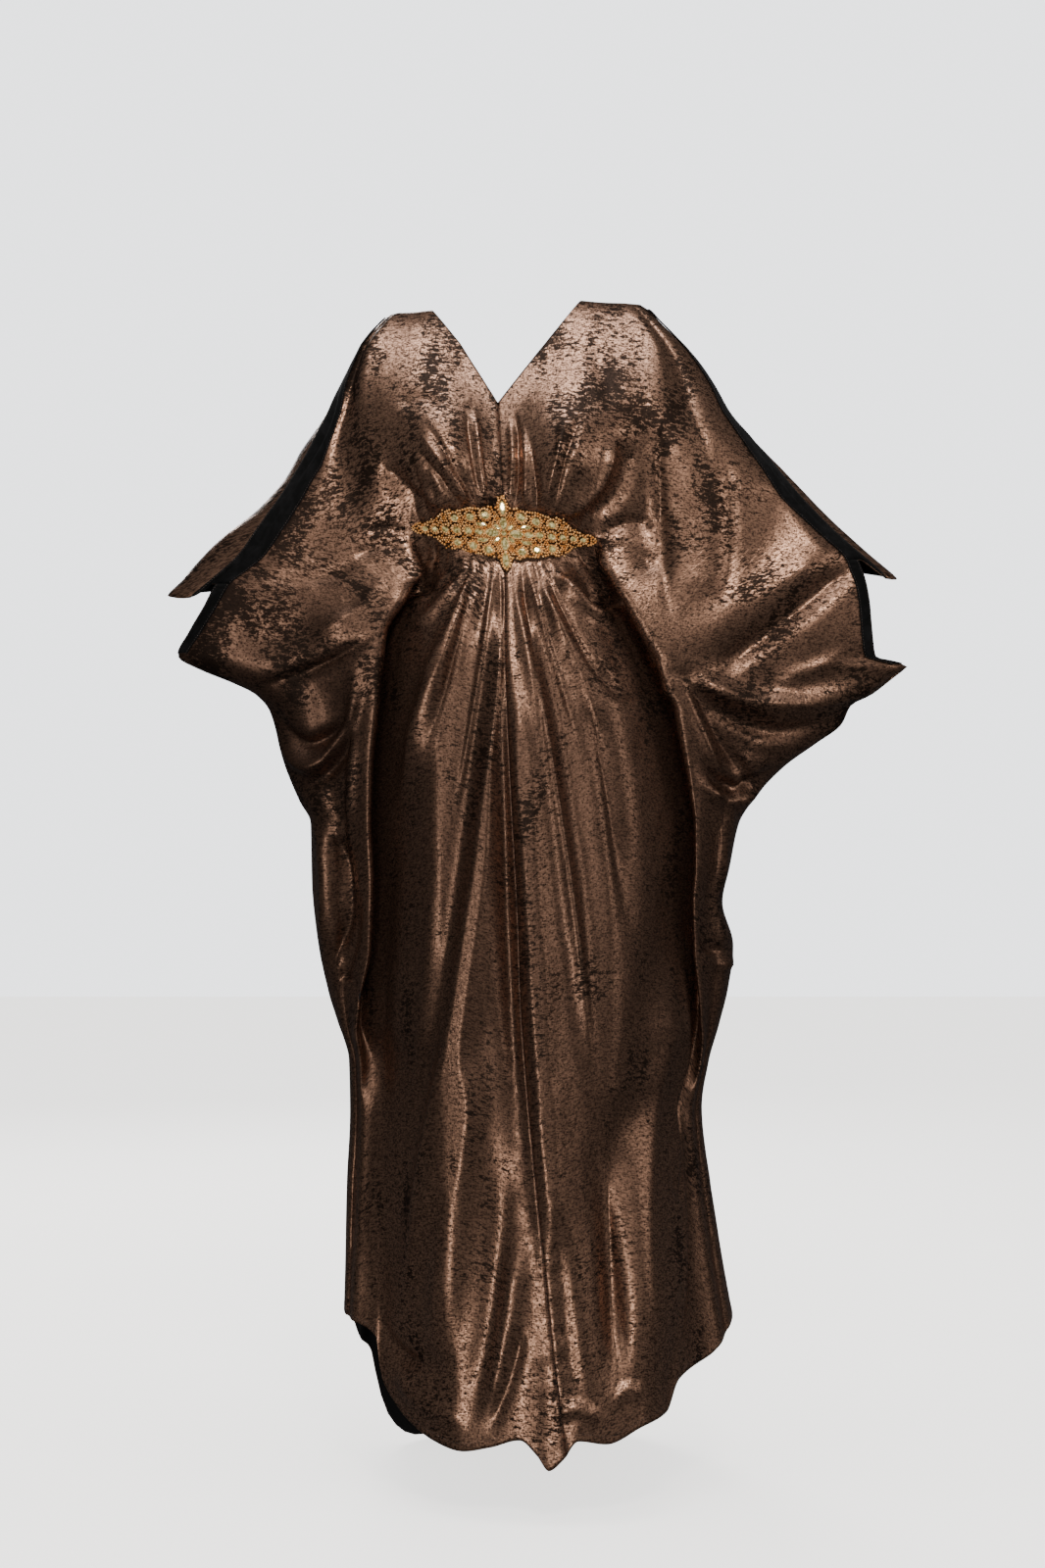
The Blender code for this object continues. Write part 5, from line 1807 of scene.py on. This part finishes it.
@dataclass
class Stitching:
    """Rows of hand-guided machine stitches, each a small spindle of thread."""

    drape: Drape
    thread: Material
    stitch: float = 2.3
    pitch: float = 3.4
    width: float = 0.5
    # How high a stitch's middle lies over the ribbon's grid, and over the cloth's face.
    on_ribbon: float = 0.65
    on_cloth: float = 0.1
    neck_inset: float = 6.0
    hem_rows: int = 2

    def line(self, path: Array, normals: Array) -> Array:
        """The stitches along one path.

        Six points make a stitch: two tips along the path, two across it, one above and one below.

        Args:
            path: Points along it.
            normals: The surface's normals there.

        Returns:
            The stitches' points, six a stitch.
        """
        along = lengths_along(path)
        at = np.arange(self.pitch / 2, along[-1], self.pitch)
        place = read_path(path, along, at)
        up = unit(read_path(normals, along, at))
        run = unit(read_path(path, along, at + 0.5) - place)
        side = unit(np.cross(run, up))
        half, thin = self.stitch / 2, self.width / 2
        parts = (run * half, -run * half, side * thin, -side * thin, up * thin, -up * thin)
        return (place[:, None] + np.stack(parts, axis=1)).reshape(-1, 3)

    def build(self, name: str, lines: list[tuple[Array, Array]], slot: str) -> None:
        """Makes one piece of all stitches along some paths.

        Args:
            name: The piece's name.
            lines: Paths with their normals.
            slot: The record's material slot.
        """
        points = np.vstack([self.line(path, normals) for path, normals in lines])
        upper = ((0, 2, 4), (2, 1, 4), (1, 3, 4), (3, 0, 4))
        lower = ((2, 0, 5), (1, 2, 5), (3, 1, 5), (0, 3, 5))
        shift = np.arange(len(points) // 6)[:, None, None] * 6
        faces = (np.array(upper + lower)[None] + shift).reshape(-1, 3)
        add_mesh(name, points, faces, (self.thread,), slot)

    def build_all(self, bands: list[HalfPanel]) -> None:
        """Sews the ribbons' edges, the hem, the neckline and the centre seam."""
        drape = self.drape
        edges = [
            (band.points[:, col] + band.normals[:, col] * self.on_ribbon, band.normals[:, col])
            for band in bands
            for col in (1, -2)
        ]
        self.build("ribbon_stitches", edges, "black_velvet")
        lift = drape.cloth / 2 + self.on_cloth
        hem = -1 - self.hem_rows
        hems, necks, centre = [], [], []
        for half in HALVES:
            for panel, top in ((Panel.FRONT, drape.v_drop), (Panel.BACK, drape.scoop_drop)):
                made = drape.panels[half.word, panel]
                hems.append((made.points[hem] + made.normals[hem] * lift, made.normals[hem]))
                rows = (drape.drops > VelvetBands.start_drop + 2) & (drape.drops < top - 3)
                along = running_length(made.points[rows], 1, (0, 1, 2))
                place = np.full((rows.sum(), 1), self.neck_inset)
                path, normals = (
                    np.hstack([read_rows(place, along, grid[rows][..., k]) for k in range(3)])
                    for grid in (made.points, made.normals)
                )
                necks.append((path + normals * lift, normals))
        front = drape.panels["left", Panel.FRONT]
        # The centre seam's stitches leave the applique free.
        for low, high in ((drape.v_drop + 4, 255), (350, 1380)):
            rows = (drape.drops > low) & (drape.drops < high)
            normals = front.normals[rows, 0]
            centre.append((front.points[rows, 0] + normals * lift, normals))
        for part, lines in ("hem", hems), ("neck", necks), ("centre_seam", centre):
            self.build(f"{part}_stitches", lines, "bronze_foil_cloth")


@dataclass(frozen=True)
class Stone:
    """A cut stone on the applique: its middle, its half sizes and its turn in degrees.

    A stone off the middle line is set on both sides. Pointed from 0, oval, to 1, a spindle.
    """

    across: float
    up: float
    half_long: float
    half_wide: float
    turn: float = 0.0
    pointed: float = 0.0
    ringed: bool = True

    def both(self) -> list["Stone"]:
        """The stone and, if it is off the middle line, its twin."""
        twin = replace(self, across=-self.across, turn=-self.turn)
        return [self, twin] if self.across > 0 else [self]

    def axes(self) -> Array:
        """The directions along the stone and across it."""
        cosine, sine = np.cos(np.radians(self.turn)), np.sin(np.radians(self.turn))
        return np.array([[cosine, sine], [-sine, cosine]])

    def outline(
        self, count: int, scale: float = 1.0, grow: float = 0.0, shift: float = 0.0
    ) -> Array:
        """Points round the stone.

        At angle a the point lies at cosine a along the stone and at sine a across it, times the
        size of the sine to the power of how pointed it is.

        Args:
            count: How many there are.
            scale: Their size, as a share of the stone's.
            grow: How far outside it they lie.
            shift: Turn of the first, as a share of one step.

        Returns:
            Across and up, in millimetres.
        """
        a = (np.arange(count) + shift) / count * 2 * np.pi
        side = np.sin(a) * np.abs(np.sin(a)) ** (0.45 * self.pointed)
        half = np.array((self.half_long, self.half_wide)) * scale + grow
        return (np.stack([np.cos(a), side], axis=-1) * half) @ self.axes() + (self.across, self.up)

    def clear(self, places: Array, margin: float) -> Array:
        """Which places, across and up, lie outside the stone by a margin."""
        half = np.array((self.half_long, self.half_wide)) + margin
        away = (places - (self.across, self.up)) @ self.axes().T / half
        return np.hypot(*away.T) > 1 - 0.12 * self.pointed


STONES = (
    # The flower in the middle, with a spire of spindles above and below it.
    Stone(0, 0, 3.6, 3.6, ringed=False),
    Stone(0, 12.5, 8.6, 4.8, 90, 0.9, ringed=False),
    Stone(0, -12.5, 8.6, 4.8, 90, 0.9, ringed=False),
    Stone(0, 31, 9.8, 4.3, 90, 1),
    Stone(0, -32.5, 9.8, 4.3, 90, 1),
    Stone(8.4, 7.4, 5.4, 2.9, 42, 1, ringed=False),
    Stone(8.4, -7.4, 5.4, 2.9, -42, 1, ringed=False),
    Stone(14.5, 0, 8.4, 5.4, 0, 0.2, ringed=False),
    # The arms, out to the tips.
    Stone(30, 0, 5.8, 4.0, 0, 0.7, ringed=False),
    Stone(43, 0.5, 4.8, 4.6),
    Stone(57, 0, 4.6, 4.3),
    Stone(70.5, 0, 4.3, 4.0),
    Stone(83, 0, 3.9, 3.6),
    Stone(95, 0, 3.9, 3.3),
    # The scallops above and below the arms.
    Stone(21.5, 20.2, 5.6, 5.2),
    Stone(39.5, 16.4, 5.2, 4.9),
    Stone(58.5, 13.8, 4.7, 4.5),
    Stone(20.0, -21.0, 5.4, 5.0),
    Stone(38.0, -17.2, 5.2, 4.9),
    Stone(57.0, -14.4, 4.7, 4.5),
    # Spindles between them.
    Stone(24.5, 9.2, 5.0, 2.6, 24, 1, ringed=False),
    Stone(24.0, -9.6, 5.0, 2.6, -24, 1, ringed=False),
    Stone(29.5, 8.6, 4.6, 2.3, 24, 1, ringed=False),
    Stone(29.0, -9.4, 4.6, 2.3, -24, 1, ringed=False),
)


@dataclass
class Applique:
    """Beads and cut stones on the applique's backing, in a plain mirrored leaf layout."""

    gold: Material
    crystal: Material
    ground: Material
    drop: float = 299
    tilt: float = 0.07
    # Half its width and height as the cloth behind it sees it, and the same of its spires.
    reach: float = 112
    height: float = 40
    spire_reach: float = 11
    spire_height: float = 50
    # The beads: those in rings, on sprigs and on the rim, those between them, and the smallest.
    bead: float = 3.1
    filler: float = 2.7
    tip_bead: float = 2.1
    spire_bead: float = 2.4
    ring_gap: float = 1.7
    rim_width: float = 3.2
    # A bead's middle lies over the backing by this share of its size. Beads are a little uneven
    # in size, are set this far apart in sizes, and may come as near to each other as the last.
    raised: float = 0.32
    uneven: tuple[float, float] = (0.93, 1.06)
    apart: float = 1.04
    nearest: float = 0.86
    bead_sides: int = 10
    bead_rings: int = 5
    # Sprigs of beads on one side: where each starts and ends, and how many beads it has.
    sprigs: tuple = (
        ((66, 18), (72.5, 21.5), 3),
        ((65, -18), (71, -22), 3),
        ((80, 9), (86.5, 10.5), 3),
        ((79, -9), (85, -10), 3),
        ((99, 0), (111, 0), 5),
    )
    spire_tips: tuple[float, float] = (43.2, -45.2)
    # A stone's rings from its table to its foot, and a cup's wall: each a share of the stone's
    # outline, a share of its height and, for a stone, a turn in steps.
    cut_rings: tuple = ((0.5, 1.0, 0.0), (0.8, 0.72, 0.5), (1.0, 0.35, 0.0), (0.92, -0.3, 0.0))
    wall_rings: tuple = ((1.0, 0.5), (1.12, 0.55), (1.2, 0.3), (1.2, -0.3), (0.95, -0.3))
    stone_sides: int = 10
    cup_sides: int = 14
    stones: tuple[Stone, ...] = STONES
    # The backing's outline: half its height at each distance from the middle.
    edge: Table = Table(
        ("reach", "height"),
        (
            (0, 47), (5, 42), (9, 29), (18, 31), (30, 27), (40, 27), (52, 23), (64, 23),
            (76, 17), (84, 9), (96, 8), (105, 6), (112, 1.5),
        ),
    )

    @classmethod
    def beside(cls, x: Array, z: Array) -> Array:
        """How far out of the applique each point lies: below 1 it is behind it.

        The lesser of two rounded diamonds, one for the leaf and one for the spires.

        Args:
            x: The points' X.
            z: The points' Z.

        Returns:
            The distance, as a share of the applique's size.
        """
        down = np.abs(z + cls.drop + cls.tilt * x)
        leaf = np.abs(x / cls.reach) ** 1.3 + (down / cls.height) ** 1.3
        spire = (x / cls.spire_reach) ** 2 + (down / cls.spire_height) ** 2
        return np.minimum(leaf, spire)

    def turned(self, across: float, up: float) -> tuple[float, float]:
        """X and Z of a place on the applique."""
        return across - self.tilt * up, up - self.drop - self.tilt * across

    def in_place(self, places: Array, depth: Array | float) -> Array:
        """Points in millimetres at places on the applique, across and up, and at a depth."""
        x, z = self.turned(*places.T)
        return np.stack(np.broadcast_arrays(x, depth, z), axis=-1)

    def on_ground(self, places: Array, tree: BVHTree) -> Array:
        """Points of the backing's outside at these places on the applique.

        A place that misses the backing takes the depth a little nearer to the middle.

        Args:
            places: Across and up, in millimetres.
            tree: The backing.

        Returns:
            Points in millimetres.
        """
        depths = []
        for place in places:
            for pull in (1.0, 0.97, 0.93, 0.88, 0.8, 0.6):
                x, z = self.turned(*place * pull)
                hit = tree.ray_cast(Vector((x, -400, z)) * MM, Vector((0, 1, 0)))[0]
                if hit is not None:
                    break
            depths.append(hit.y / MM)
        return self.in_place(places, np.array(depths))

    def mirrored(self) -> list[Stone]:
        """All stones, those off the middle line on both sides."""
        return [s for stone in self.stones for s in stone.both()]

    def outside_stones(self, places: Array, margin: float) -> Array:
        """Which places, across and up, lie clear of every stone by a margin."""
        return np.all([s.clear(places, margin) for s in self.mirrored()], axis=0)

    def bead_places(self) -> tuple[Array, Array]:
        """Where every bead goes, and its size.

        Rings go round the stones, sprigs run out of the scallops, tips and spires end in small
        beads, and a close hexagonal packing fills the rest of the backing. A bead that would
        crowd an earlier one is left out.

        Returns:
            Places, across and up, and diameters.
        """
        groups = []
        for s in self.mirrored():
            if s.ringed:
                reach = np.hypot(s.half_long + self.ring_gap, s.half_wide + self.ring_gap)
                count = int(2 * np.pi * reach / 2**0.5 / self.bead)
                groups.append((s.outline(count, grow=self.ring_gap, shift=0.5), self.bead))
        for side in (-1, 1):
            for start, end, count in self.sprigs:
                run = np.linspace(start, end, count) * (side, 1)
                groups.append((run, np.linspace(self.bead, self.tip_bead, count)))
        groups += [(np.array([[0, up]]), self.spire_bead) for up in self.spire_tips]
        groups.append((self.rim_places(), self.bead))
        groups.append((self.filling(), self.filler))
        places = np.vstack([place for place, _ in groups])
        sizes = np.concatenate([np.broadcast_to(size, len(place)) for place, size in groups])
        return self.thin_out(places, sizes)

    def filling(self) -> Array:
        """Places in a close hexagonal packing, a little uneven, inside the rim and off stones."""
        pitch = self.filler * self.apart
        rows = np.arange(-44, 44, pitch * 0.866)
        cols = np.arange(-110, 110, pitch)
        shift = (np.arange(len(rows)) % 2)[:, None] * pitch / 2
        grid = np.stack(np.broadcast_arrays(cols[None, :] + shift, rows[:, None]), axis=-1)
        grid = grid.reshape(-1, 2)
        jitter = np.random.default_rng(5).uniform(-0.18, 0.18, grid.shape)
        reach, height = self.outline()
        inside = np.abs(grid[:, 1]) < np.interp(np.abs(grid[:, 0]), reach, height) - self.rim_width
        return (grid + jitter)[inside & self.outside_stones(grid, 1.0)]

    def outline(self) -> tuple[Array, Array]:
        """The backing's outline in one quarter: reaches and heights."""
        return tuple(np.array(self.edge.rows, float).T)

    def rim_places(self) -> Array:
        """Places a bead's width apart all along the backing's outline, just inside it."""
        reach, height = self.outline()
        line = np.stack([reach, np.maximum(height - self.bead * 0.3, 0)], axis=-1)
        along = lengths_along(line)
        at = np.arange(self.bead, along[-1], self.bead * self.apart)
        turns = np.array([(1, 1), (-1, 1), (1, -1), (-1, -1)])
        return (read_path(line, along, at)[None] * turns[:, None]).reshape(-1, 2)

    def thin_out(self, places: Array, sizes: Array) -> tuple[Array, Array]:
        """Leaves out each bead that crowds an earlier one or a stone.

        Args:
            places: Across and up.
            sizes: Diameters.

        Returns:
            The places and diameters left.
        """
        gap = np.linalg.norm(places[:, None] - places[None], axis=-1)
        crowded = gap < (sizes[:, None] + sizes[None]) / 2 * self.nearest
        kept = self.outside_stones(places, 0.35)
        for i in range(len(places)):
            kept[i] &= not (crowded[i, :i] & kept[:i]).any()
        return places[kept], sizes[kept]

    def build_beads(self, tree: BVHTree) -> None:
        """Makes all beads as one piece of small balls, 100 faces each.

        A ball is rings of points at even angles from pole to pole, and the two poles.
        """
        places, sizes = self.bead_places()
        middle = self.on_ground(places, tree)
        uneven = np.random.default_rng(9).uniform(*self.uneven, len(sizes))
        middle[:, 1] -= sizes * self.raised
        turn = np.linspace(0, 2 * np.pi, self.bead_sides, endpoint=False)
        rise = np.linspace(-np.pi / 2, np.pi / 2, self.bead_rings + 2)[1:-1, None]
        parts = np.cos(rise) * np.cos(turn), np.sin(rise), np.cos(rise) * np.sin(turn)
        rings = np.stack(np.broadcast_arrays(*parts), axis=-1).reshape(-1, 3)
        ball = np.vstack([rings, [[0, -1, 0], [0, 1, 0]]]) / 2
        faces = self.ring_faces(self.bead_rings, self.bead_sides)
        points, faces = stamp(ball, faces, middle, sizes * uneven)
        LOG.info("%d beads", len(sizes))
        add_mesh("applique_beads", points, faces, (self.gold,), "gold_beads")

    def build_stones(self, tree: BVHTree) -> None:
        """Makes all stones, and their gold cups.

        A stone is four rings of points round its outline: the table, the crown, turned by half a
        step to cut star facets, the girdle and the foot. It is tilted a little: depth changes by
        a random slope across and one up. A cup is a low wall round its girdle.

        Args:
            tree: The backing.
        """
        stones, cups, stone_faces, cup_faces = [], [], [], []
        every = self.mirrored()
        low, high = (-0.1, 0.0), (0.25, 0.4)
        tilts = np.random.default_rng(17).uniform(low, high, (len(every), 2))
        for s, tilt in zip(every, tilts):
            depth = self.on_ground(np.array([[s.across, s.up]]), tree)[0, 1]
            tall = 0.55 * s.half_wide + 1.1
            count = self.stone_sides
            rings = [
                self.in_place(s.outline(count, scale=k, shift=shift), depth - tall * up)
                for k, up, shift in self.cut_rings
            ]
            table, foot = rings[0].mean(axis=0), rings[-1].mean(axis=0)
            cut = np.vstack([*rings, table, foot])
            stone_faces.append(self.ring_faces(len(rings), count) + len(cut) * len(stones))
            cut[:, 1] += (cut[:, (0, 2)] - table[[0, 2]]) @ tilt
            stones.append(cut)
            count = self.cup_sides
            wall = [
                self.in_place(s.outline(count, scale=k), depth - tall * up)
                for k, up in self.wall_rings
            ]
            faces = self.ring_faces(len(wall), count, closed=True)
            cup_faces.append(faces + len(wall) * count * len(cups))
            cups.append(np.vstack(wall))
        made = np.vstack(stones), np.vstack(stone_faces), (self.crystal,), "gold_beads"
        add_mesh("applique_stones", *made, smooth=False)
        add_mesh("applique_cups", np.vstack(cups), np.vstack(cup_faces), (self.gold,), "gold_beads")

    @staticmethod
    def ring_faces(rings: int, count: int, closed: bool = False) -> Array:
        """Triangles between rings of points.

        Args:
            rings: How many rings there are.
            count: How many points each has.
            closed: Whether the last ring joins the first. If not, a fan closes each of them, to
                the two points that follow the rings.

        Returns:
            Three point numbers a face.
        """
        row, col = (a.ravel() for a in np.indices((rings if closed else rings - 1, count)))
        beside, below = (col + 1) % count, (row + 1) % rings * count
        a, b, c, d = row * count + col, row * count + beside, below + beside, below + col
        walls = np.vstack([np.stack([a, c, b], 1), np.stack([a, d, c], 1)])
        if closed:
            return walls
        end, after = np.arange(count), np.roll(np.arange(count), -1)
        last, full = (rings - 1) * count, np.full(count, rings * count)
        top = np.stack([end, after, full], 1)
        return np.vstack([walls, top, np.stack([after + last, end + last, full + 1], 1)])

    def build(self) -> None:
        """Finishes the backing and makes the stones and beads on it."""
        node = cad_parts["waist_applique"]
        node.data.materials.clear()
        node.data.materials.append(self.ground)
        tree = BVHTree.FromObject(node, bpy.context.evaluated_depsgraph_get())
        self.build_stones(tree)
        self.build_beads(tree)


# ---- The studio ----


@dataclass(frozen=True)
class SoftBox:
    """A square soft light: its middle, what it looks at, its side in metres and its watts."""

    name: str
    place: tuple[float, float, float]
    target: tuple[float, float, float]
    side: float
    watts: float
    colour: str


@dataclass
class Studio:
    """A pale floor, soft lights and a camera at the photograph's angle."""

    floor_drop: float = 1.4512
    floor_side: float = 16.0
    centre_x: float = 0.022
    centre_z: float = -0.6
    distance: float = 3.6
    sensor: float = 36.0
    # Metres at the garment's plane for one of the photograph's pixels, 1066 of them across.
    metres_per_pixel: float = 0.001218
    pixels_across: int = 1066
    sky: str = "#eef0f3"
    sky_strength: float = 0.9
    # What the foil mirrors of the sky: a dim room, so that only the soft lights shine on it.
    sky_in_shine: float = 0.05
    # How pale the sky is behind the garment, and the glow that makes the floor as pale.
    sky_seen: float = 3.0
    lights: tuple[SoftBox, ...] = (
        SoftBox("key", (0.3, -3.0, 1.75), (0.02, 0.0, -0.5), 0.65, 50, "#fff8f0"),
        SoftBox("fill", (-1.0, -3.4, -0.9), (0.0, 0.0, -1.0), 0.55, 20, "#fff8f0"),
        SoftBox("side", (2.6, -1.6, 0.3), (0.0, 0.0, -0.5), 1.3, 10, "#fff8f0"),
        SoftBox("back", (-0.8, 3.2, 0.9), (0.0, 0.0, -0.5), 1.4, 70, "#ffffff"),
        SoftBox("top", (0.0, -0.6, 2.2), (0.0, 0.0, -0.3), 1.4, 30, "#ffffff"),
    )

    def build(self) -> None:
        """Makes the floor, the sky, the lights and the camera."""
        half, z = self.floor_side / 2, -self.floor_drop
        corners = [(-half, -half, z), (half, -half, z), (half, half, z), (-half, half, z)]
        mesh = bpy.data.meshes.new("studio_floor")
        mesh.from_pydata(corners, [], [(0, 1, 2, 3)])
        mesh.materials.append(StudioFloor().build())
        floor = bpy.data.objects.new("studio_floor", mesh)
        bpy.context.scene.collection.objects.link(floor)
        floor.visible_glossy = False
        floor.visible_diffuse = False
        world = bpy.data.worlds.new("studio_sky")
        world.use_nodes = True
        add = partial(add_node, world.node_tree)
        shine, seen = (add("LightPath", read=f"Is {way} Ray") for way in ("Glossy", "Camera"))
        strength = add("MapRange", (shine, 0, 1, self.sky_strength, self.sky_in_shine))
        strength = add("MapRange", (seen, 0, 1, strength, self.sky_seen))
        back = {"Color": linear(self.sky), "Strength": strength}
        fill(world.node_tree.nodes["Background"], back)
        bpy.context.scene.world = world
        for box in self.lights:
            self.add_light(box)
        self.add_camera()

    @staticmethod
    def add_light(box: SoftBox) -> None:
        """Adds a soft light that looks at its target."""
        lamp = bpy.data.lights.new(box.name, "AREA")
        lamp.shape, lamp.size, lamp.energy = "SQUARE", box.side, box.watts
        lamp.color = linear(box.colour)[:3]
        light = bpy.data.objects.new(box.name, lamp)
        light.location = box.place
        aim = Vector(box.target) - Vector(box.place)
        light.rotation_euler = aim.to_track_quat("-Z", "Y").to_euler()
        bpy.context.scene.collection.objects.link(light)

    def add_camera(self) -> None:
        """Adds a level camera in front of the garment, with the photograph's field of view."""
        lens = bpy.data.cameras.new("camera")
        lens.sensor_fit = "HORIZONTAL"
        lens.sensor_width = self.sensor
        lens.lens = self.sensor * self.distance / (self.metres_per_pixel * self.pixels_across)
        camera = bpy.data.objects.new("camera", lens)
        camera.location = (self.centre_x, -self.distance, self.centre_z)
        camera.rotation_euler = (np.pi / 2, 0.0, 0.0)
        bpy.context.scene.collection.objects.link(camera)
        bpy.context.scene.camera = camera


def main() -> None:
    """Builds the pieces in order."""
    logging.basicConfig(level=logging.INFO, format="%(message)s")
    drape = Drape()
    foil, wrong = FoilCloth().build(), WrongSide().build()
    garment = Garment(drape, foil, wrong)
    ribbons = VelvetBands(drape, Velvet().build())
    grids = []
    for half in HALVES:
        garment.build_front(half)
        grids += ribbons.build(half)
    garment.build_back()
    Stitching(drape, SewingThread().build()).build_all(grids)
    Applique(GoldBead().build(), Crystal().build(), BeadedGround().build()).build()
    Studio().build()


if __name__ == "__main__":
    main()
